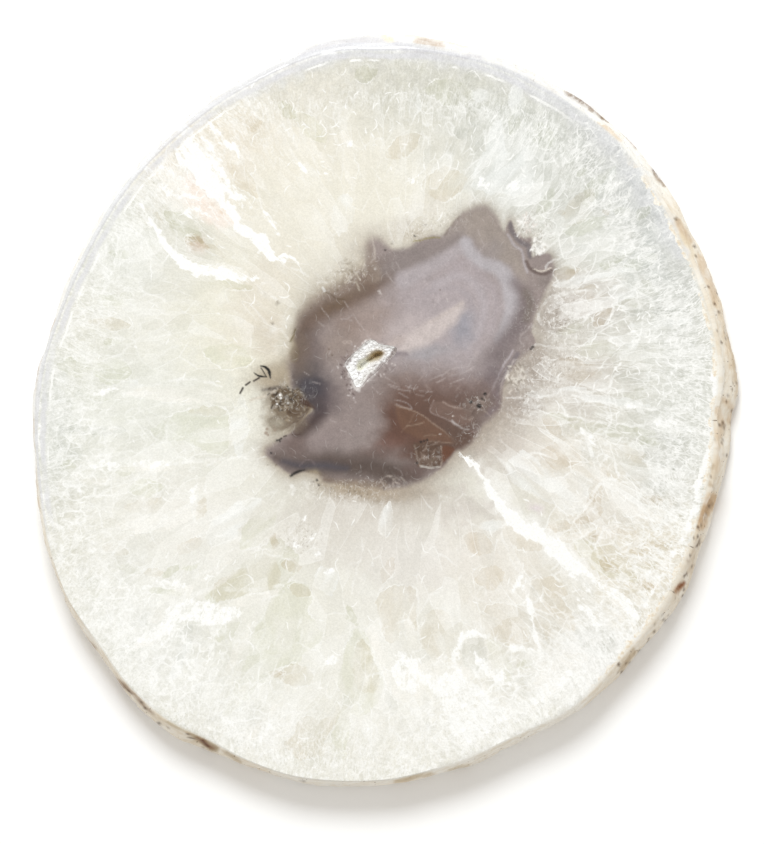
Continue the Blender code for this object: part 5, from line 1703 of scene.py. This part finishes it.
def crust_material():
    """White druse, with a tan and brown depth to its pocket."""
    shade = Shade("druse_crystal")
    tone = shade.vector("tone")
    place = shade.vector("place")
    sugar = shade.noise(place, 0.9, 3.0, 0.7)
    tone = shade.mix(shade.span(sugar, 0.58, 0.7, 0.0, 0.45), tone, (0.66, 0.62, 0.61), "MULTIPLY")
    shade.feed(shade.shader.inputs["Base Color"], tone)
    shade.feed(shade.shader.inputs["Roughness"], shade.span(sugar, 0.3, 0.7, 0.12, 0.4))
    fine = shade.noise(place, 2.2, 2.0, 0.6)
    shade.bump(fine, 0.35, 0.05 * MM)
    shade.shader.inputs["IOR"].default_value = 1.54
    shade.shader.inputs["Transmission Weight"].default_value = 0.12
    return shade.material


def dress_crust(piece, points, mouth):
    places = pixels(points)
    canvas = Canvas(places)
    _, depth = crust_height(places, mouth)
    canvas.lay(np.ones(len(points)), (255, 255, 255))
    canvas.draw("""
    scatter 346,350 366,336 398,344 398,354 376,380 356,394 342,368 / 240 .6,2.2 45 .5 196,188,186 white
    160,148,148 white;
    scatter 344,350 366,336 364,346 350,362 352,384 343,372 / 110 .6,2 46 .7 120,104,104 190,180,178 white;
    """)
    canvas.lay(rise(-0.5, 2.5, depth), (244, 243, 226))
    canvas.draw("""
    glow 375 356 9 6 -20 186,162,120 .9 .8; glow 380 353 5 3 0 156,128,84 .85 .8;
    glow 364 364 4.5 4 0 255,255,250 .95 .8; glow 368 376 16 8 -50 226,222,216 .6;
    stroke 399,348 391,359 382,369 373,379 364,390 / 6,9,10,7 150,138,134 .9 1.6 3;
    stroke 346,366 350,354 358,346 368,339 / 3,4,3 190,180,178 .6 1.6 3;
    """)
    store(piece, "tone", np.minimum(canvas.tone * 1.1, 0.95))
    store(piece, "place", np.column_stack([places, points[:, 2] / PIXEL]))


# Floor, light and camera


def make_floor():
    bpy.ops.mesh.primitive_plane_add(size=6, location=(0, 0, 0))
    floor = bpy.context.object
    floor.name = "floor"
    shade = Shade("floor_white")
    shade.shader.inputs["Base Color"].default_value = (0.93, 0.93, 0.93, 1)
    shade.shader.inputs["Roughness"].default_value = 0.9
    shade.shader.inputs["Specular IOR Level"].default_value = 0.1
    floor.data.materials.append(shade.material)


def make_light():
    world = bpy.data.worlds.new("studio")
    bpy.context.scene.world = world
    world.use_nodes = True
    sky = world.node_tree.nodes["Background"]
    sky.inputs["Color"].default_value = (1.0, 0.965, 0.91, 1)
    sky.inputs["Strength"].default_value = 0.72
    lamp = bpy.data.lights.new("key", "AREA")
    lamp.shape = "DISK"
    lamp.size = 0.8
    lamp.energy = 25.0
    lamp.color = (0.93, 0.97, 1.0)
    key = bpy.data.objects.new("key", lamp)
    key.location = (-0.24, 1.25, 1.28)
    key.rotation_euler = (-key.location).to_track_quat("-Z", "Y").to_euler()
    bpy.context.scene.collection.objects.link(key)


def make_camera():
    away = 1.5
    lens = bpy.data.cameras.new("camera")
    lens.sensor_fit = "VERTICAL"
    lens.sensor_height = 36
    lens.lens = 36 * away / (FRAME_HEIGHT * PIXEL)
    camera = bpy.data.objects.new("camera", lens)
    camera.location = (*at(FRAME_WIDTH / 2, FRAME_HEIGHT / 2), THICKNESS + away)
    bpy.context.scene.collection.objects.link(camera)
    bpy.context.scene.camera = camera


def make_slab(side, hollow):
    points, faces, kinds = build_slab(side, hollow)
    piece = new_piece("agate_slice_stone", points, faces, 34)
    on_side = np.zeros(len(points), dtype=bool)
    on_side[:len(side) * EDGE_POINTS] = True
    dress_slab(piece, points, pixels(side[-1]), on_side)
    lay_out(piece, kinds, faces, points)
    for look in LOOKS:
        piece.data.materials.append(side_material() if look == "side" else face_material(look))
    piece.data.polygons.foreach_set("material_index", sort_faces(piece, faces, kinds))
    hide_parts("agate_slice")
    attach(piece, "root")


def make_crust(hollow):
    points, faces, _ = build_crust(hollow)
    piece = new_piece("druse_crystals", points, faces, 20)
    dress_crust(piece, points, pixels(hollow[0]))
    piece.data.materials.append(crust_material())
    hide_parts("druse_crust")
    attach(piece, "root")


make_camera()
make_light()
make_floor()
side_rings, hollow_rings = slab_rings()
make_slab(side_rings, hollow_rings)
make_crust(hollow_rings)
bpy.context.scene.view_settings.view_transform = "Standard"
